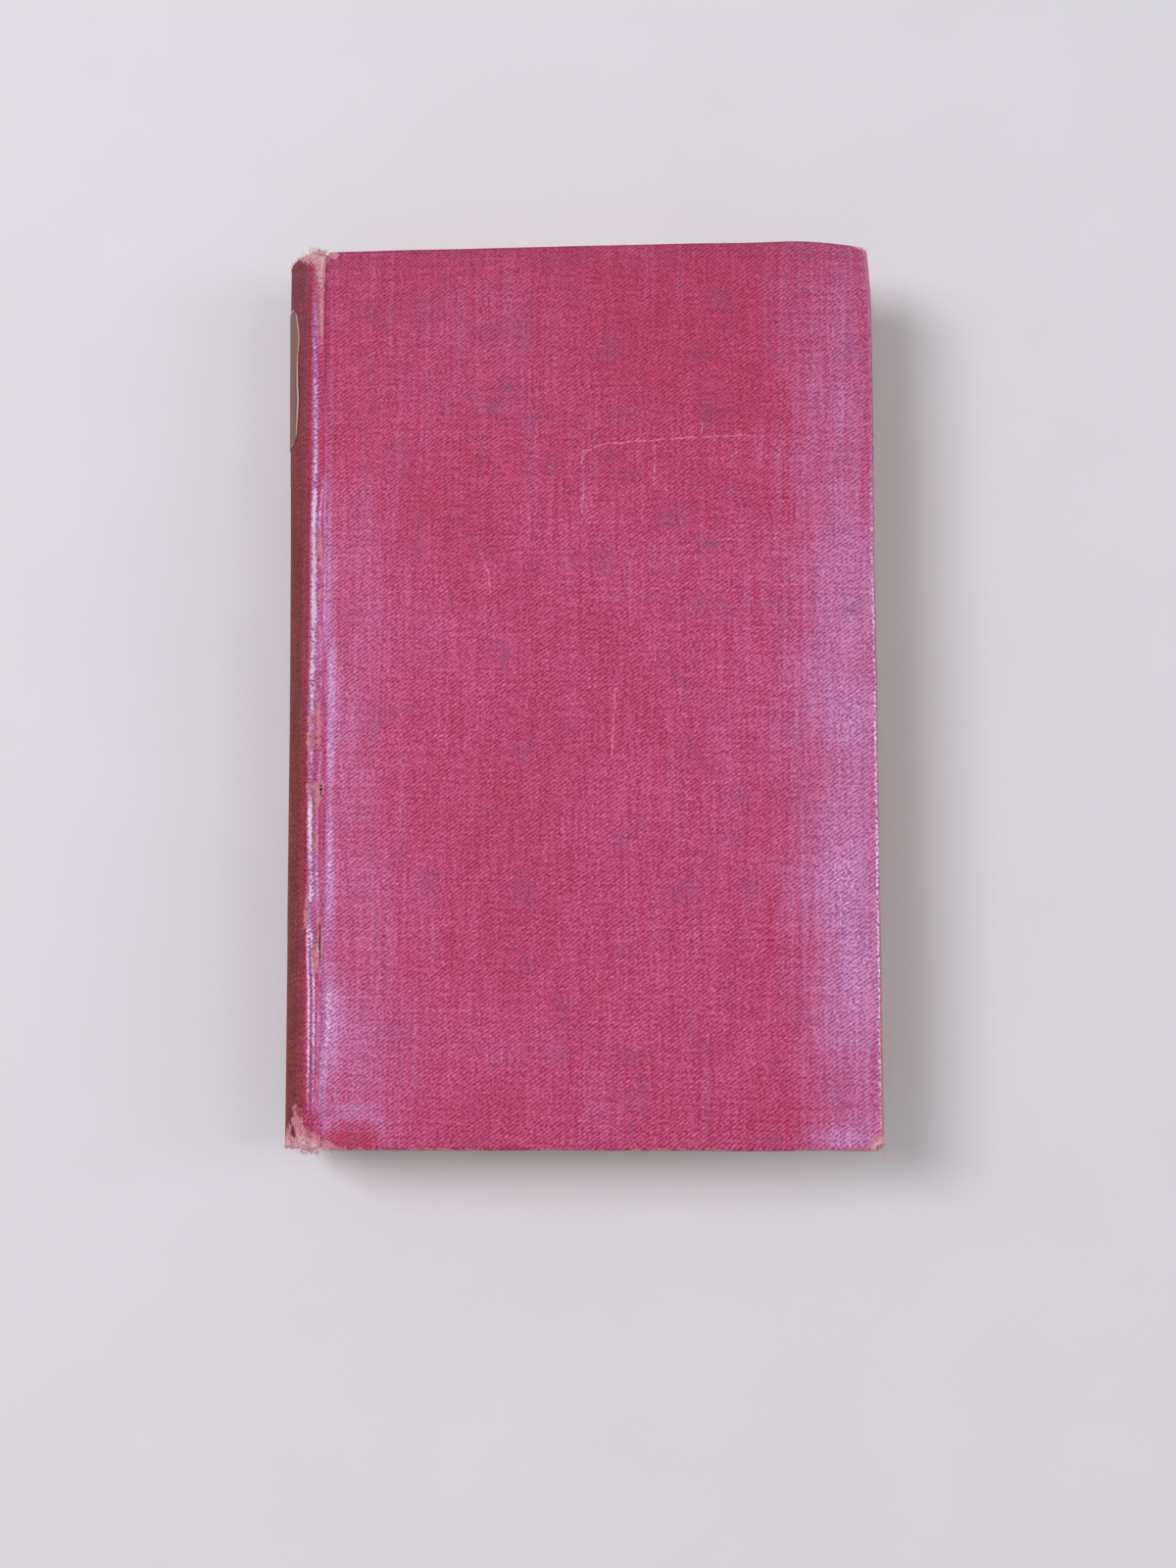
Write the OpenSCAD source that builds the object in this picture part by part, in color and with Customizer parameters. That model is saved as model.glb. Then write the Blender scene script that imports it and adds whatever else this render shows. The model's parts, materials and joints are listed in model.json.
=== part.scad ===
// A hardback book in a cloth case binding, lying closed on its back cover.
// X runs from the spine to the fore-edge, Y from tail to head, Z from back cover to front cover.

/* [Case] */
// Height of the covers, tail to head
case_h = 190; // [170:1:220]
// Width of a cover from its joint edge to its fore-edge
cover_w = 115; // [100:1:140]
// Width of each joint, from the top of the ridge to the cover
joint_w = 3.3; // [3.2:0.1:5]
// Depth of the groove pressed into each joint
groove_depth = 1.1; // [0.6:0.1:1.3]
// How far the spine bulges past the ridges
spine_bulge = 6.5; // [5.5:0.1:9]
// Radius of the ridge where the cloth turns over the shoulder
ridge_r = 1.2; // [0.9:0.1:1.6]
// Radius of a cover's outer edges
edge_r = 1; // [0.6:0.1:1.4]
// Radius of a cover's corners, seen from above
corner_r = 2; // [1:0.1:5]

/* [Book block] */
// Thickness of the block of pages
block_t = 21.5; // [16:0.5:34]
// How far the covers stand past the pages at head, tail and fore-edge
square_w = 3; // [2:0.1:5]
// Depth of the hollow in the fore-edge
fore_hollow = 4; // [2.5:0.1:5]
// Radius of the scoop under each shoulder
shoulder_r = 3.9; // [3.4:0.1:5]
// Number of sewn sections
sections = 14; // [8:1:20]

/* [Layers] */
// Thickness of the greyboard
board_t = 2.3; // [1.8:0.1:3]
// Thickness of the bookcloth
cloth_t = 0.35; // [0.25:0.05:0.5]
// Thickness of an endpaper leaf
leaf_t = 0.15; // [0.1:0.05:0.25]
// Thickness of the spine inlay
inlay_t = 0.3; // [0.2:0.05:0.5]
// Thickness of the kraft spine lining
lining_t = 0.2; // [0.1:0.05:0.3]
// Thickness of the mull
mull_t = 0.15; // [0.1:0.05:0.25]
// Thickness of a sewing tape
tape_t = 0.2; // [0.1:0.05:0.3]
// Diameter of the sewing thread
thread_d = 0.3; // [0.2:0.05:0.4]

/* [Sewing] */
// Width of a sewing tape
tape_w = 12; // [8:1:18]
// Distance between the middles of two tapes
tape_pitch = 52; // [40:1:56]
// Distance of the kettle stitches from the ends of the block
kettle_in = 12; // [10:1:16]
// Length of a stitch past each side of a tape
stitch_past = 1; // [0.5:0.1:2]

/* [Bands and turn-ins] */
// Diameter of the head and tail bands
band_d = 1.4; // [1:0.1:1.8]
// Length of the tongue that holds a band to the spine
tongue_l = 6; // [4:0.5:8]
// Width of the turn-ins inside the covers
turn_in = 15; // [10:1:20]
// Length of the turn-ins inside the spine
spine_turn_in = 12; // [8:1:16]

/* [Label] */
// Height of the spine label along the spine
label_h = 30; // [15:1:60]
// Width of the spine label round the spine
label_w = 17.5; // [8:0.5:20]
// Distance of the label from the head
label_drop = 10.6; // [6:0.1:30]
// Thickness of the label
label_t = 0.2; // [0.1:0.05:0.3]
// Radius of the label's corners
label_corner = 2.5; // [0.5:0.5:4]

/* [Clearances] */
// Gap between an endpaper's two leaves when the book is closed
close_gap = 0.05; // [0.05:0.05:0.3]
// Smallest gap of the hollow back, inside the turn-ins
hollow_gap = 0.35; // [0.3:0.05:0.6]
// Thickness of the glue between two layers that follow the round of the spine
glue_t = 0.06; // [0.05:0.01:0.08]
// Gap round pieces that lie in the joints
fit_gap = 0.1; // [0.05:0.05:0.15]
// How far the ridges stay below the cover faces
ridge_drop = 0.1; // [0:0.05:0.4]

/* [Hidden] */
$fn = 96;
past = 1; // how far a cutting shape runs past what it cuts

// Heights above the middle plane of the book
block_z = block_t / 2;
leaf_z = block_z + leaf_t;
paste_z = leaf_z + close_gap;
board_z = paste_z + leaf_t + cloth_t;
board_top = board_z + board_t;
cover_top = board_top + cloth_t;
ridge_top = cover_top - ridge_drop;
ridge_mid = ridge_top - ridge_r;

// Places along X
total_w = label_t + spine_bulge + joint_w + cover_w;
fore_x = total_w / 2;
cover_x = fore_x - cover_w;
ridge_x = cover_x - joint_w;
back_x = ridge_x - spine_bulge;

// The outer arc of the spine passes through its middle and meets both ridges without a kink
spine_r = (pow(spine_bulge, 2) + pow(ridge_mid, 2) - pow(ridge_r, 2)) / (2 * (spine_bulge - ridge_r));
spine_cx = back_x + spine_r;
ridge_angle = atan2(ridge_mid, spine_r - spine_bulge);
inlay_r = spine_r - cloth_t - glue_t - inlay_t;
turned_r = inlay_r - glue_t - cloth_t;
inlay_short = 5; // degrees by which the inlay stops short of the ridges
turned_short = 12; // degrees by which the turned-in cloth stops short of the ridges
inlay_angle = ridge_angle - inlay_short;

// The block's own spine arc passes through its middle and both shoulders
sewn_t = tape_t + thread_d;
wrap_t = sewn_t + mull_t + lining_t + 2 * glue_t;
block_back = back_x + (spine_r - turned_r) + hollow_gap + wrap_t;
shoulder_z = ridge_mid;
shoulder_x = ridge_x + (ridge_r - cloth_t) / 2;
block_sag = shoulder_x - block_back;
block_r = (pow(block_sag, 2) + pow(shoulder_z, 2)) / (2 * block_sag);
block_cx = block_back + block_r;
sewn_r = block_r + glue_t;
block_angle = atan2(shoulder_z, block_cx - shoulder_x);
wrap_short = 4; // degrees by which the mull stops short of the shoulders
edge_short = 2; // degrees by which each smaller piece stops short of the one that holds it
wrap_angle = block_angle - wrap_short;
lining_angle = wrap_angle - edge_short;
high_angle = (wrap_angle + lining_angle) / 2;

// The turned-in cloth ends before the flatter block comes too close to it
apart = block_cx - spine_cx;
meet_r = block_r + wrap_t + fit_gap;
meet_cos = (pow(meet_r, 2) - pow(turned_r, 2) - pow(apart, 2)) / (2 * turned_r * apart);
meet_angle = apart > 0 ? acos(min(1, max(0, meet_cos))) : ridge_angle;
turned_angle = min(ridge_angle - turned_short, meet_angle);

bite = 0.03; // how deep each scoop runs into the flat face, where backing presses the leaves
scoop_z = block_z + shoulder_r - bite;
tip_w = 0.3; // width of the flat on top of each shoulder
scoop_x = shoulder_x + tip_w + sqrt(pow(shoulder_r, 2) - pow(scoop_z - shoulder_z, 2));

// The fore-edge
block_h = case_h - 2 * square_w;
block_fore = fore_x - square_w;
fore_land = 0.4; // flat left above and below the hollow
fore_z = block_z - fore_land;
fore_r = (pow(fore_z, 2) + pow(fore_hollow, 2)) / (2 * fore_hollow);

// Stations along Y
band_gap = 1; // distance between a band's tongue and the lining
kettle_gap = 2; // distance between the kettle stitches and the mull
tape_y = [-tape_pitch, 0, tape_pitch];
kettle_y = block_h / 2 - kettle_in;
mull_h = 2 * (kettle_y - kettle_gap);
lining_h = block_h - 2 * (tongue_l + band_gap);
label_y = case_h / 2 - label_drop - label_h / 2;
label_angle = label_w / 2 / spine_r * 180 / PI;

cloth_red = [0.71, 0.29, 0.45];
cloth_dark = [0.55, 0.27, 0.28];
page_cream = [0.86, 0.80, 0.66];
paper_cream = [0.88, 0.83, 0.71];
board_grey = [0.56, 0.54, 0.50];
kraft = [0.66, 0.53, 0.37];
manila = [0.80, 0.70, 0.50];
linen = [0.85, 0.82, 0.74];
thread_white = [0.93, 0.91, 0.86];
label_taupe = [0.55, 0.43, 0.40];

// Point of the groove's outer face, t from 0 at the ridge to 1 at the cover
function groove_point(t) = [
    ridge_x + joint_w * t,
    ridge_top + ridge_drop * (1 - cos(180 * t)) / 2 - groove_depth * pow(sin(180 * t), 2)
];
function groove_slope(t) =
    PI / joint_w * (ridge_drop * sin(180 * t) / 2 - groove_depth * sin(360 * t));
function under(p, slope, depth) = p + depth / sqrt(1 + slope * slope) * [slope, -1];
function ridge_point(a, r) = [ridge_x - r * cos(a), ridge_mid + r * sin(a)];

// Lifts what is drawn about the middle plane, so that the back cover's face lies at Z 0
module lift() {
    translate([0, 0, cover_top]) children();
}

// The same shape for the back cover
module to_back() {
    mirror([0, 0, 1]) children();
}

// A section drawn in X and Z, drawn out along Y
module along_y(length, y = 0) {
    translate([0, y, 0]) rotate([90, 0, 0]) linear_extrude(length, center = true) children();
}

// A section drawn in Y and Z, drawn out along X from x1 to x2
module along_x(x1, x2) {
    translate([x1, 0, 0]) rotate([90, 0, 90]) linear_extrude(x2 - x1) children();
}

// A wedge that opens towards the spine
module wedge(cx, reach, half) {
    polygon([[cx, 0], [cx - reach, reach * tan(half)], [cx - reach, -reach * tan(half)]]);
}

// A layer that follows the round of the spine
module arc_band(cx, inner, outer, half) {
    intersection() {
        difference() {
            translate([cx, 0]) circle(outer);
            translate([cx, 0]) circle(inner);
        }
        wedge(cx, 2 * outer, half);
    }
}

// A thin round rod bent to the round of the spine
module bent_rod(cx, radius, d, half, y) {
    translate([cx, y, 0])
        rotate([90, 0, 0])
            rotate([0, 0, 180 - half])
                rotate_extrude(angle = 2 * half)
                    translate([radius, 0]) circle(d = d);
}

// Book block

module block_profile() {
    difference() {
        intersection() {
            union() {
                translate([block_back - past, -block_z])
                    square([block_fore - block_back + past, block_t]);
                translate([block_back - past, -shoulder_z])
                    square([scoop_x - block_back + past, 2 * shoulder_z]);
            }
            union() {
                translate([block_cx, 0]) circle(block_r);
                translate([block_cx - block_r / 2, -shoulder_z])
                    square([block_fore - block_cx + block_r, 2 * shoulder_z]);
            }
        }
        for (side = [-1, 1])
            translate([scoop_x, side * scoop_z]) circle(shoulder_r);
        translate([block_fore - fore_hollow + fore_r, 0]) circle(fore_r);
    }
}

module text_block() {
    color(page_cream) lift() along_y(block_h) block_profile();
}

module flyleaf() {
    translate([scoop_x, -block_h / 2, block_z])
        cube([block_fore - scoop_x, block_h, leaf_t]);
}

module front_flyleaf() {
    color(paper_cream) lift() flyleaf();
}

module back_flyleaf() {
    color(paper_cream) lift() to_back() flyleaf();
}

module sewing_tapes() {
    color(linen) lift()
        for (y = tape_y)
            along_y(tape_w, y) arc_band(block_cx, sewn_r, sewn_r + tape_t, lining_angle);
}

module sewing_thread() {
    stitch_angle = lining_angle - edge_short;
    step = 2 * stitch_angle / (sections - 1);
    color(thread_white) lift() {
        for (y = tape_y, i = [0 : sections - 1])
            translate([block_cx, y, 0])
                rotate([0, i * step - stitch_angle, 0])
                    translate([-sewn_r - tape_t - thread_d / 2, 0, 0])
                        rotate([90, 0, 0])
                            cylinder(d = thread_d, h = tape_w + 2 * stitch_past, center = true);
        for (side = [-1, 1])
            bent_rod(block_cx, sewn_r + thread_d / 2, thread_d, stitch_angle, side * kettle_y);
    }
}

// The mull lies on the folds and rises over each tape, and stops short of the kettle stitches
module mull() {
    inside = tape_w + 2 * stitch_past;
    half = (inside + mull_t) / 2;
    high_r = sewn_r + sewn_t;
    ends = concat([-mull_h / 2], [for (y = tape_y) each [y - half, y + half]], [mull_h / 2]);
    color(linen) lift() {
        for (i = [0 : 2 : len(ends) - 2])
            along_y(ends[i + 1] - ends[i], (ends[i] + ends[i + 1]) / 2)
                arc_band(block_cx, sewn_r, sewn_r + mull_t, wrap_angle);
        for (y = tape_y) {
            along_y(inside + 2 * mull_t, y)
                arc_band(block_cx, high_r, high_r + mull_t, high_angle);
            for (side = [-1, 1])
                along_y(mull_t, y + side * half)
                    arc_band(block_cx, sewn_r, high_r + mull_t, (wrap_angle + high_angle) / 2);
        }
    }
}

module spine_lining() {
    color(kraft) lift()
        along_y(lining_h)
            arc_band(block_cx, block_r + wrap_t - lining_t, block_r + wrap_t, lining_angle);
}

module band() {
    along_y(tongue_l + band_d / 2, (block_h - tongue_l + band_d / 2) / 2)
        arc_band(block_cx, sewn_r, sewn_r + mull_t, turned_angle - edge_short);
    bent_rod(block_cx, sewn_r - band_d / 2 + mull_t, band_d, turned_angle, (block_h + band_d) / 2);
}

module head_band() {
    color(thread_white) lift() band();
}

module tail_band() {
    color(thread_white) lift() mirror([0, 1, 0]) band();
}

// Case

module spine_inlay() {
    color(manila) lift()
        along_y(case_h - 2 * cloth_t - 2 * glue_t)
            arc_band(spine_cx, inlay_r, inlay_r + inlay_t, inlay_angle);
}

module spine_cloth() {
    color(cloth_dark) lift() {
        along_y(case_h) arc_band(spine_cx, spine_r - cloth_t, spine_r, ridge_angle);
        for (side = [-1, 1]) {
            along_y(cloth_t, side * (case_h - cloth_t) / 2)
                arc_band(spine_cx, turned_r, spine_r, turned_angle);
            along_y(spine_turn_in, side * (case_h - spine_turn_in) / 2)
                arc_band(spine_cx, turned_r, turned_r + cloth_t, turned_angle);
        }
    }
}

// The label's corners are rounded as seen from behind the spine
module spine_label() {
    color(label_taupe) lift()
        intersection() {
            along_y(label_h, label_y) arc_band(spine_cx, spine_r, spine_r + label_t, label_angle);
            translate([0, label_y, 0])
                along_x(back_x - past, spine_cx)
                    round_square(label_h, 2 * spine_r * sin(label_angle), label_corner);
        }
}

// A rectangle about the origin with four round corners
module round_square(w, h, r) {
    square([w - 2 * r, h], center = true);
    square([w, h - 2 * r], center = true);
    for (x = [-1, 1], y = [-1, 1])
        translate([x * (w / 2 - r), y * (h / 2 - r)]) circle(r);
}

// A slab with the outline of a covered board, pulled in by inset and lying from low to high.
// Its joint side stays square and its other outer edges are rounded.
module cover_slab(inset, low, high) {
    w = cover_w - inset;
    h = case_h - 2 * inset;
    r = edge_r - inset;
    c = corner_r - inset;
    deep = high - low + r + past;
    intersection() {
        translate([cover_x, 0, low])
            linear_extrude(high - low)
                intersection() {
                    round_square(2 * w, h, c);
                    translate([0, -h / 2]) square([w, h]);
                }
        along_y(h)
            translate([cover_x, high - deep / 2]) round_square(2 * w, deep, r);
        along_x(cover_x, cover_x + w)
            translate([0, high - deep / 2]) round_square(h, deep, r);
    }
}

module board() {
    cover_slab(cloth_t, board_z, board_top);
}

// The turn-ins leave a window in which the endpaper meets the board
window_w = cover_w - turn_in;
window_h = case_h - 2 * turn_in;

module cover_cloth() {
    difference() {
        cover_slab(0, board_z - cloth_t, cover_top);
        board();
        translate([cover_x - past, -window_h / 2, board_z - cloth_t - past])
            cube([window_w + past, window_h, cloth_t + 2 * past]);
    }
}

// The pastedown lies on the turn-ins and steps down onto the board inside them
module pastedown() {
    low = board_z - cloth_t - leaf_t;
    inner_w = window_w - leaf_t;
    inner_h = window_h - 2 * leaf_t;
    difference() {
        union() {
            translate([cover_x, -block_h / 2, low])
                cube([block_fore - cover_x, block_h, leaf_t]);
            translate([cover_x, -window_h / 2, low])
                cube([window_w, window_h, cloth_t + leaf_t]);
        }
        translate([cover_x - past, -inner_h / 2, low - past])
            cube([inner_w + past, inner_h, cloth_t + past]);
    }
}

// The bookcloth over the ridge and down through the groove to the cover
module joint_cloth() {
    ridge_steps = 8;
    groove_steps = 20;
    ridge_as = [for (i = [0 : ridge_steps]) ridge_angle + (90 - ridge_angle) * i / ridge_steps];
    groove_ts = [for (i = [1 : groove_steps]) i / groove_steps];
    outer = concat(
        [for (a = ridge_as) ridge_point(a, ridge_r)],
        [for (t = groove_ts) groove_point(t)]
    );
    inner = concat(
        [for (a = ridge_as) ridge_point(a, ridge_r - cloth_t)],
        [for (t = groove_ts) under(groove_point(t), groove_slope(t), cloth_t)]
    );
    last = len(inner) - 1;
    along_y(case_h) polygon(concat(outer, [for (i = [0 : last]) inner[last - i]]));
}

// Mull and endpaper together, lying in the scoop of the shoulder up to the board's edge
module inner_hinge() {
    outer = shoulder_r - fit_gap;
    inner = outer - mull_t - leaf_t;
    up = 44; // degrees that it climbs the shoulder
    right = cover_x - fit_gap;
    along_y(block_h)
        intersection() {
            difference() {
                translate([scoop_x, scoop_z]) circle(outer);
                translate([scoop_x, scoop_z]) circle(inner);
            }
            polygon([
                [scoop_x, scoop_z],
                [scoop_x - 2 * outer * sin(up), scoop_z - 2 * outer * cos(up)],
                [right, scoop_z - 2 * outer * cos(up)],
                [right, scoop_z - inner / 2]
            ]);
        }
}

module front_board() {
    color(board_grey) lift() board();
}

module front_cloth() {
    color(cloth_red) lift() cover_cloth();
}

module front_pastedown() {
    color(paper_cream) lift() pastedown();
}

module front_joint_cloth() {
    color(cloth_red) lift() joint_cloth();
}

module front_inner_hinge() {
    color(paper_cream) lift() inner_hinge();
}

module back_board() {
    color(board_grey) lift() to_back() board();
}

module back_cloth() {
    color(cloth_red) lift() to_back() cover_cloth();
}

module back_pastedown() {
    color(paper_cream) lift() to_back() pastedown();
}

module back_joint_cloth() {
    color(cloth_red) lift() to_back() joint_cloth();
}

module back_inner_hinge() {
    color(paper_cream) lift() to_back() inner_hinge();
}

text_block();
front_flyleaf();
back_flyleaf();
sewing_tapes();
sewing_thread();
mull();
spine_lining();
head_band();
tail_band();
spine_inlay();
spine_cloth();
spine_label();
front_board();
front_cloth();
front_pastedown();
front_joint_cloth();
front_inner_hinge();
back_board();
back_cloth();
back_pastedown();
back_joint_cloth();
back_inner_hinge();
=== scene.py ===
# %% [markdown]
# # A worn hardback in twill bookcloth
# This lesson dresses a closed octavo book that was covered in red twill about a century ago.
# The cloth has been handled: its margins are burnished, its spine is browned by daylight, and its
# ends and corners are frayed. All of it is mesh and procedural shading around a fixed CAD frame.

import json
import math

import bpy
import numpy as np
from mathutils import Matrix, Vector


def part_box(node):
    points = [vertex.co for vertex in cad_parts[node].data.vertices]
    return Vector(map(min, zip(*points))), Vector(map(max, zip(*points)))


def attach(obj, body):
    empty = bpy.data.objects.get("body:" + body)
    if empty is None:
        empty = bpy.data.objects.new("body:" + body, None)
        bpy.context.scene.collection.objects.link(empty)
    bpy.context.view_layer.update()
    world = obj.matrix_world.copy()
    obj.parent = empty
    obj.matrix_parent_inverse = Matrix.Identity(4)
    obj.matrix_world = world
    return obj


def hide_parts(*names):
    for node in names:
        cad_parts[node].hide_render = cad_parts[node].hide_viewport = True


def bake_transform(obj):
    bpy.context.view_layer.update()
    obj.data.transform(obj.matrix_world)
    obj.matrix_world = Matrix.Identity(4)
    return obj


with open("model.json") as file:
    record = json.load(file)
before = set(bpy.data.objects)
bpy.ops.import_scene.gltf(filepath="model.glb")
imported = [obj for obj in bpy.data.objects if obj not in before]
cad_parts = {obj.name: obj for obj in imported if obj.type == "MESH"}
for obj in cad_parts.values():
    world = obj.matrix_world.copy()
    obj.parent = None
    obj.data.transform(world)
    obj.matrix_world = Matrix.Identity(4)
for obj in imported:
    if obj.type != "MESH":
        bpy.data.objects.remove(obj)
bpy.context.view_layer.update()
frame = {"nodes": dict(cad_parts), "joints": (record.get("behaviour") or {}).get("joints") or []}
print("frame nodes:", len(frame["nodes"]))

# %% [markdown]
# Bookbinders work in millimetres and Blender in metres. The lesson keeps millimetres in its
# sums and turns them into metres once, where a mesh is made. Places come from the frame's nodes.

# %% Sizes in millimetres
MM = 0.001


def box_mm(node):
    """Lowest and highest corner of a CAD node, in millimetres."""
    low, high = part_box(node)
    return np.array(low) / MM, np.array(high) / MM


cover_low, cover_high = box_mm("front_cloth")
spine_low, spine_high = box_mm("spine_cloth")
block_low, block_high = box_mm("text_block")
leaf_low, leaf_high = box_mm("front_flyleaf")
paste_low, paste_high = box_mm("front_pastedown")
hinge = next(j for j in frame["joints"] if j["name"] == "front_hinge")
ridge_x = hinge["pos_m"][0] / MM
ridge_top = hinge["pos_m"][2] / MM
cover_x = cover_low[0]
fore_x = cover_high[0]
half_h = cover_high[1]
top_z = cover_high[2]
mid_z = top_z / 2
cloth_t = 0.35
print("book:", fore_x - spine_low[0], 2 * half_h, top_z, "mm")

# %% [markdown]
# The cloth over the spine is one round arc that runs without a kink into the small round of each
# ridge, then down through the groove and up onto the board. These are the CAD's own curves.

# %% The section of the case
ridge_r = 1.2
groove_depth = 1.1
ridge_mid = ridge_top - mid_z - ridge_r
spine_bulge = ridge_x - spine_low[0]
spine_r = (spine_bulge**2 + ridge_mid**2 - ridge_r**2) / (2 * (spine_bulge - ridge_r))
spine_cx = spine_low[0] + spine_r
ridge_angle = math.atan2(ridge_mid, spine_r - spine_bulge)
joint_w = cover_x - ridge_x
ridge_drop = top_z - ridge_top


def spine_point(angle, radius):
    """A point of the spine's round section, angle 0 at its middle, as x and z."""
    return spine_cx - radius * np.cos(angle), mid_z + radius * np.sin(angle)


def groove_point(t):
    """The groove's outer face, t from 0 on the ridge to 1 at the board, as x and z."""
    rise = ridge_drop * (1 - np.cos(np.pi * t)) / 2
    return ridge_x + joint_w * t, ridge_top + rise - groove_depth * np.sin(np.pi * t) ** 2


print("spine radius:", round(spine_r, 2), "mm")

# %% [markdown]
# ## Helpers
# One helper adds any shader node with its settings and links. Another turns the sRGB colours that
# a painter would pick into the linear values that Blender mixes.

# %% Shader helpers


def paint(code):
    """An sRGB hex colour as linear RGBA."""
    parts = [int(code[i : i + 2], 16) / 255 for i in (1, 3, 5)]
    return [p / 12.92 if p <= 0.04045 else ((p + 0.055) / 1.055) ** 2.4 for p in parts] + [1.0]


def add(tree, kind, links=None, **settings):
    """Adds one node, sets its properties and fills its inputs with values or other nodes."""
    node = tree.nodes.new("ShaderNode" + kind)
    for key, value in settings.items():
        setattr(node, key, value)
    for name, value in (links or {}).items():
        if isinstance(name, int):
            socket = node.inputs[name]
        else:
            socket = next(s for s in node.inputs if s.enabled and s.name == name)
        if isinstance(value, bpy.types.Node):
            value = next(s for s in value.outputs if s.enabled)
        if isinstance(value, bpy.types.NodeSocket):
            tree.links.new(value, socket)
        else:
            socket.default_value = value
    return node


def new_material(name, **shader):
    """A material with one Principled shader whose uniform values are set on its own sockets."""
    material = bpy.data.materials.new(name)
    material.use_nodes = True
    tree = material.node_tree
    tree.nodes.clear()
    surface = add(tree, "BsdfPrincipled", {k.replace("_", " "): v for k, v in shader.items()})
    add(tree, "OutputMaterial", {"Surface": surface})
    return material, tree, surface


print("middle grey in linear light:", round(paint("#808080")[0], 3))

# %% [markdown]
# A finish is built up as paint is: a base colour, then layers over it, each where a pattern or a
# mark says. One helper adds patterns up, one lays the colours over one another, and one joins the
# colour and a relief of real depth to the shader.

# %% Layers of a finish
relief_mm = 0.05


def weighted(tree, parts, base=0.0):
    """Adds up patterns on a base, each times its share, which may be a pattern too."""
    for source, share in parts:
        base = add(tree, "Math", {0: source, 1: share, 2: base}, operation="MULTIPLY_ADD")
    return base


def paint_over(tree, base, layers, ease="LINEAR"):
    """Lays colours over a base, each growing to its strength as its source goes from low to high."""
    for source, low, high, strength, colour in layers:
        limits = {1: low, 2: high, 4: strength}
        mask = add(tree, "MapRange", {0: source, **limits}, interpolation_type=ease)
        base = add(tree, "Mix", {"Factor": mask, "A": base, "B": colour}, data_type="RGBA")
    return base


def dress(tree, surface, colour, relief=None, strength=0.3, depth_mm=relief_mm):
    """Joins a colour to the shader, and a relief with a depth in millimetres."""
    tree.links.new(colour.outputs[2], surface.inputs["Base Color"])
    if relief is not None:
        bump = add(tree, "Bump", {"Height": relief, "Strength": strength, "Distance": depth_mm * MM})
        tree.links.new(bump.outputs[0], surface.inputs["Normal"])


print("usual depth of a relief:", relief_mm, "mm")

# %% [markdown]
# Paper and cloth are thin sheets, so most pieces start as a grid of points. A grid keeps its cloth
# coordinates in millimetres as a UV map, and marks such as rubbing are stored at its points.

# %% Mesh helpers


def grid_faces(rows, cols, start=0):
    """Quads between the points of a grid, whose normals follow rows crossed with columns."""
    at = start + np.arange(rows * cols).reshape(rows, cols)
    quads = np.stack([at[:-1, :-1], at[1:, :-1], at[1:, 1:], at[:-1, 1:]], axis=-1)
    return quads.reshape(-1, 4)


def patch(x, y, z, u=None, v=None, keep=None, flip=False, **marks):
    """One grid of a piece: its points in millimetres, cloth coordinates, kept faces and marks."""
    x, y, z = np.broadcast_arrays(x, y, z)
    u, v = np.broadcast_arrays(x if u is None else u, y if v is None else v)
    form = {"xyz": (x, y, z), "uv": (u, v), "shape": x.shape}
    return {**form, "keep": keep, "flip": flip, "marks": marks}


print("faces in a grid of 3 by 3 points:", len(grid_faces(3, 3)))

# %% [markdown]
# A piece is sewn together from such grids. Where two of them meet, their points are welded. Thick
# sheets get a second face inside, and the modifiers are applied, so the mesh is the one seen.

# %% Sewing helpers


def store(mesh, patches, quads):
    """Writes cloth coordinates and marks from the patches into the mesh."""
    uv = np.concatenate([np.stack(p["uv"], axis=-1).reshape(-1, 2) for p in patches])
    layer = mesh.uv_layers.new(name="cloth")
    layer.data.foreach_set("uv", uv[quads.reshape(-1)].reshape(-1))
    for name in sorted(set(key for p in patches for key in p["marks"])):
        values = [np.broadcast_to(p["marks"].get(name, 0.0), p["shape"]).reshape(-1) for p in patches]
        mesh.attributes.new(name, "FLOAT", "POINT").data.foreach_set("value", np.concatenate(values))


def final_mesh(piece):
    """Applies the piece's modifiers, so that its mesh is the one seen."""
    bpy.context.view_layer.update()
    shown = piece.evaluated_get(bpy.context.evaluated_depsgraph_get())
    mesh = bpy.data.meshes.new_from_object(shown)
    piece.modifiers.clear()
    piece.data = mesh


def link(name, mesh, material):
    """Puts a mesh into the scene as a smooth piece with one material."""
    mesh.materials.append(material)
    mesh.polygons.foreach_set("use_smooth", [True] * len(mesh.polygons))
    piece = bpy.data.objects.new(name, mesh)
    bpy.context.scene.collection.objects.link(piece)
    return piece


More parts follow.
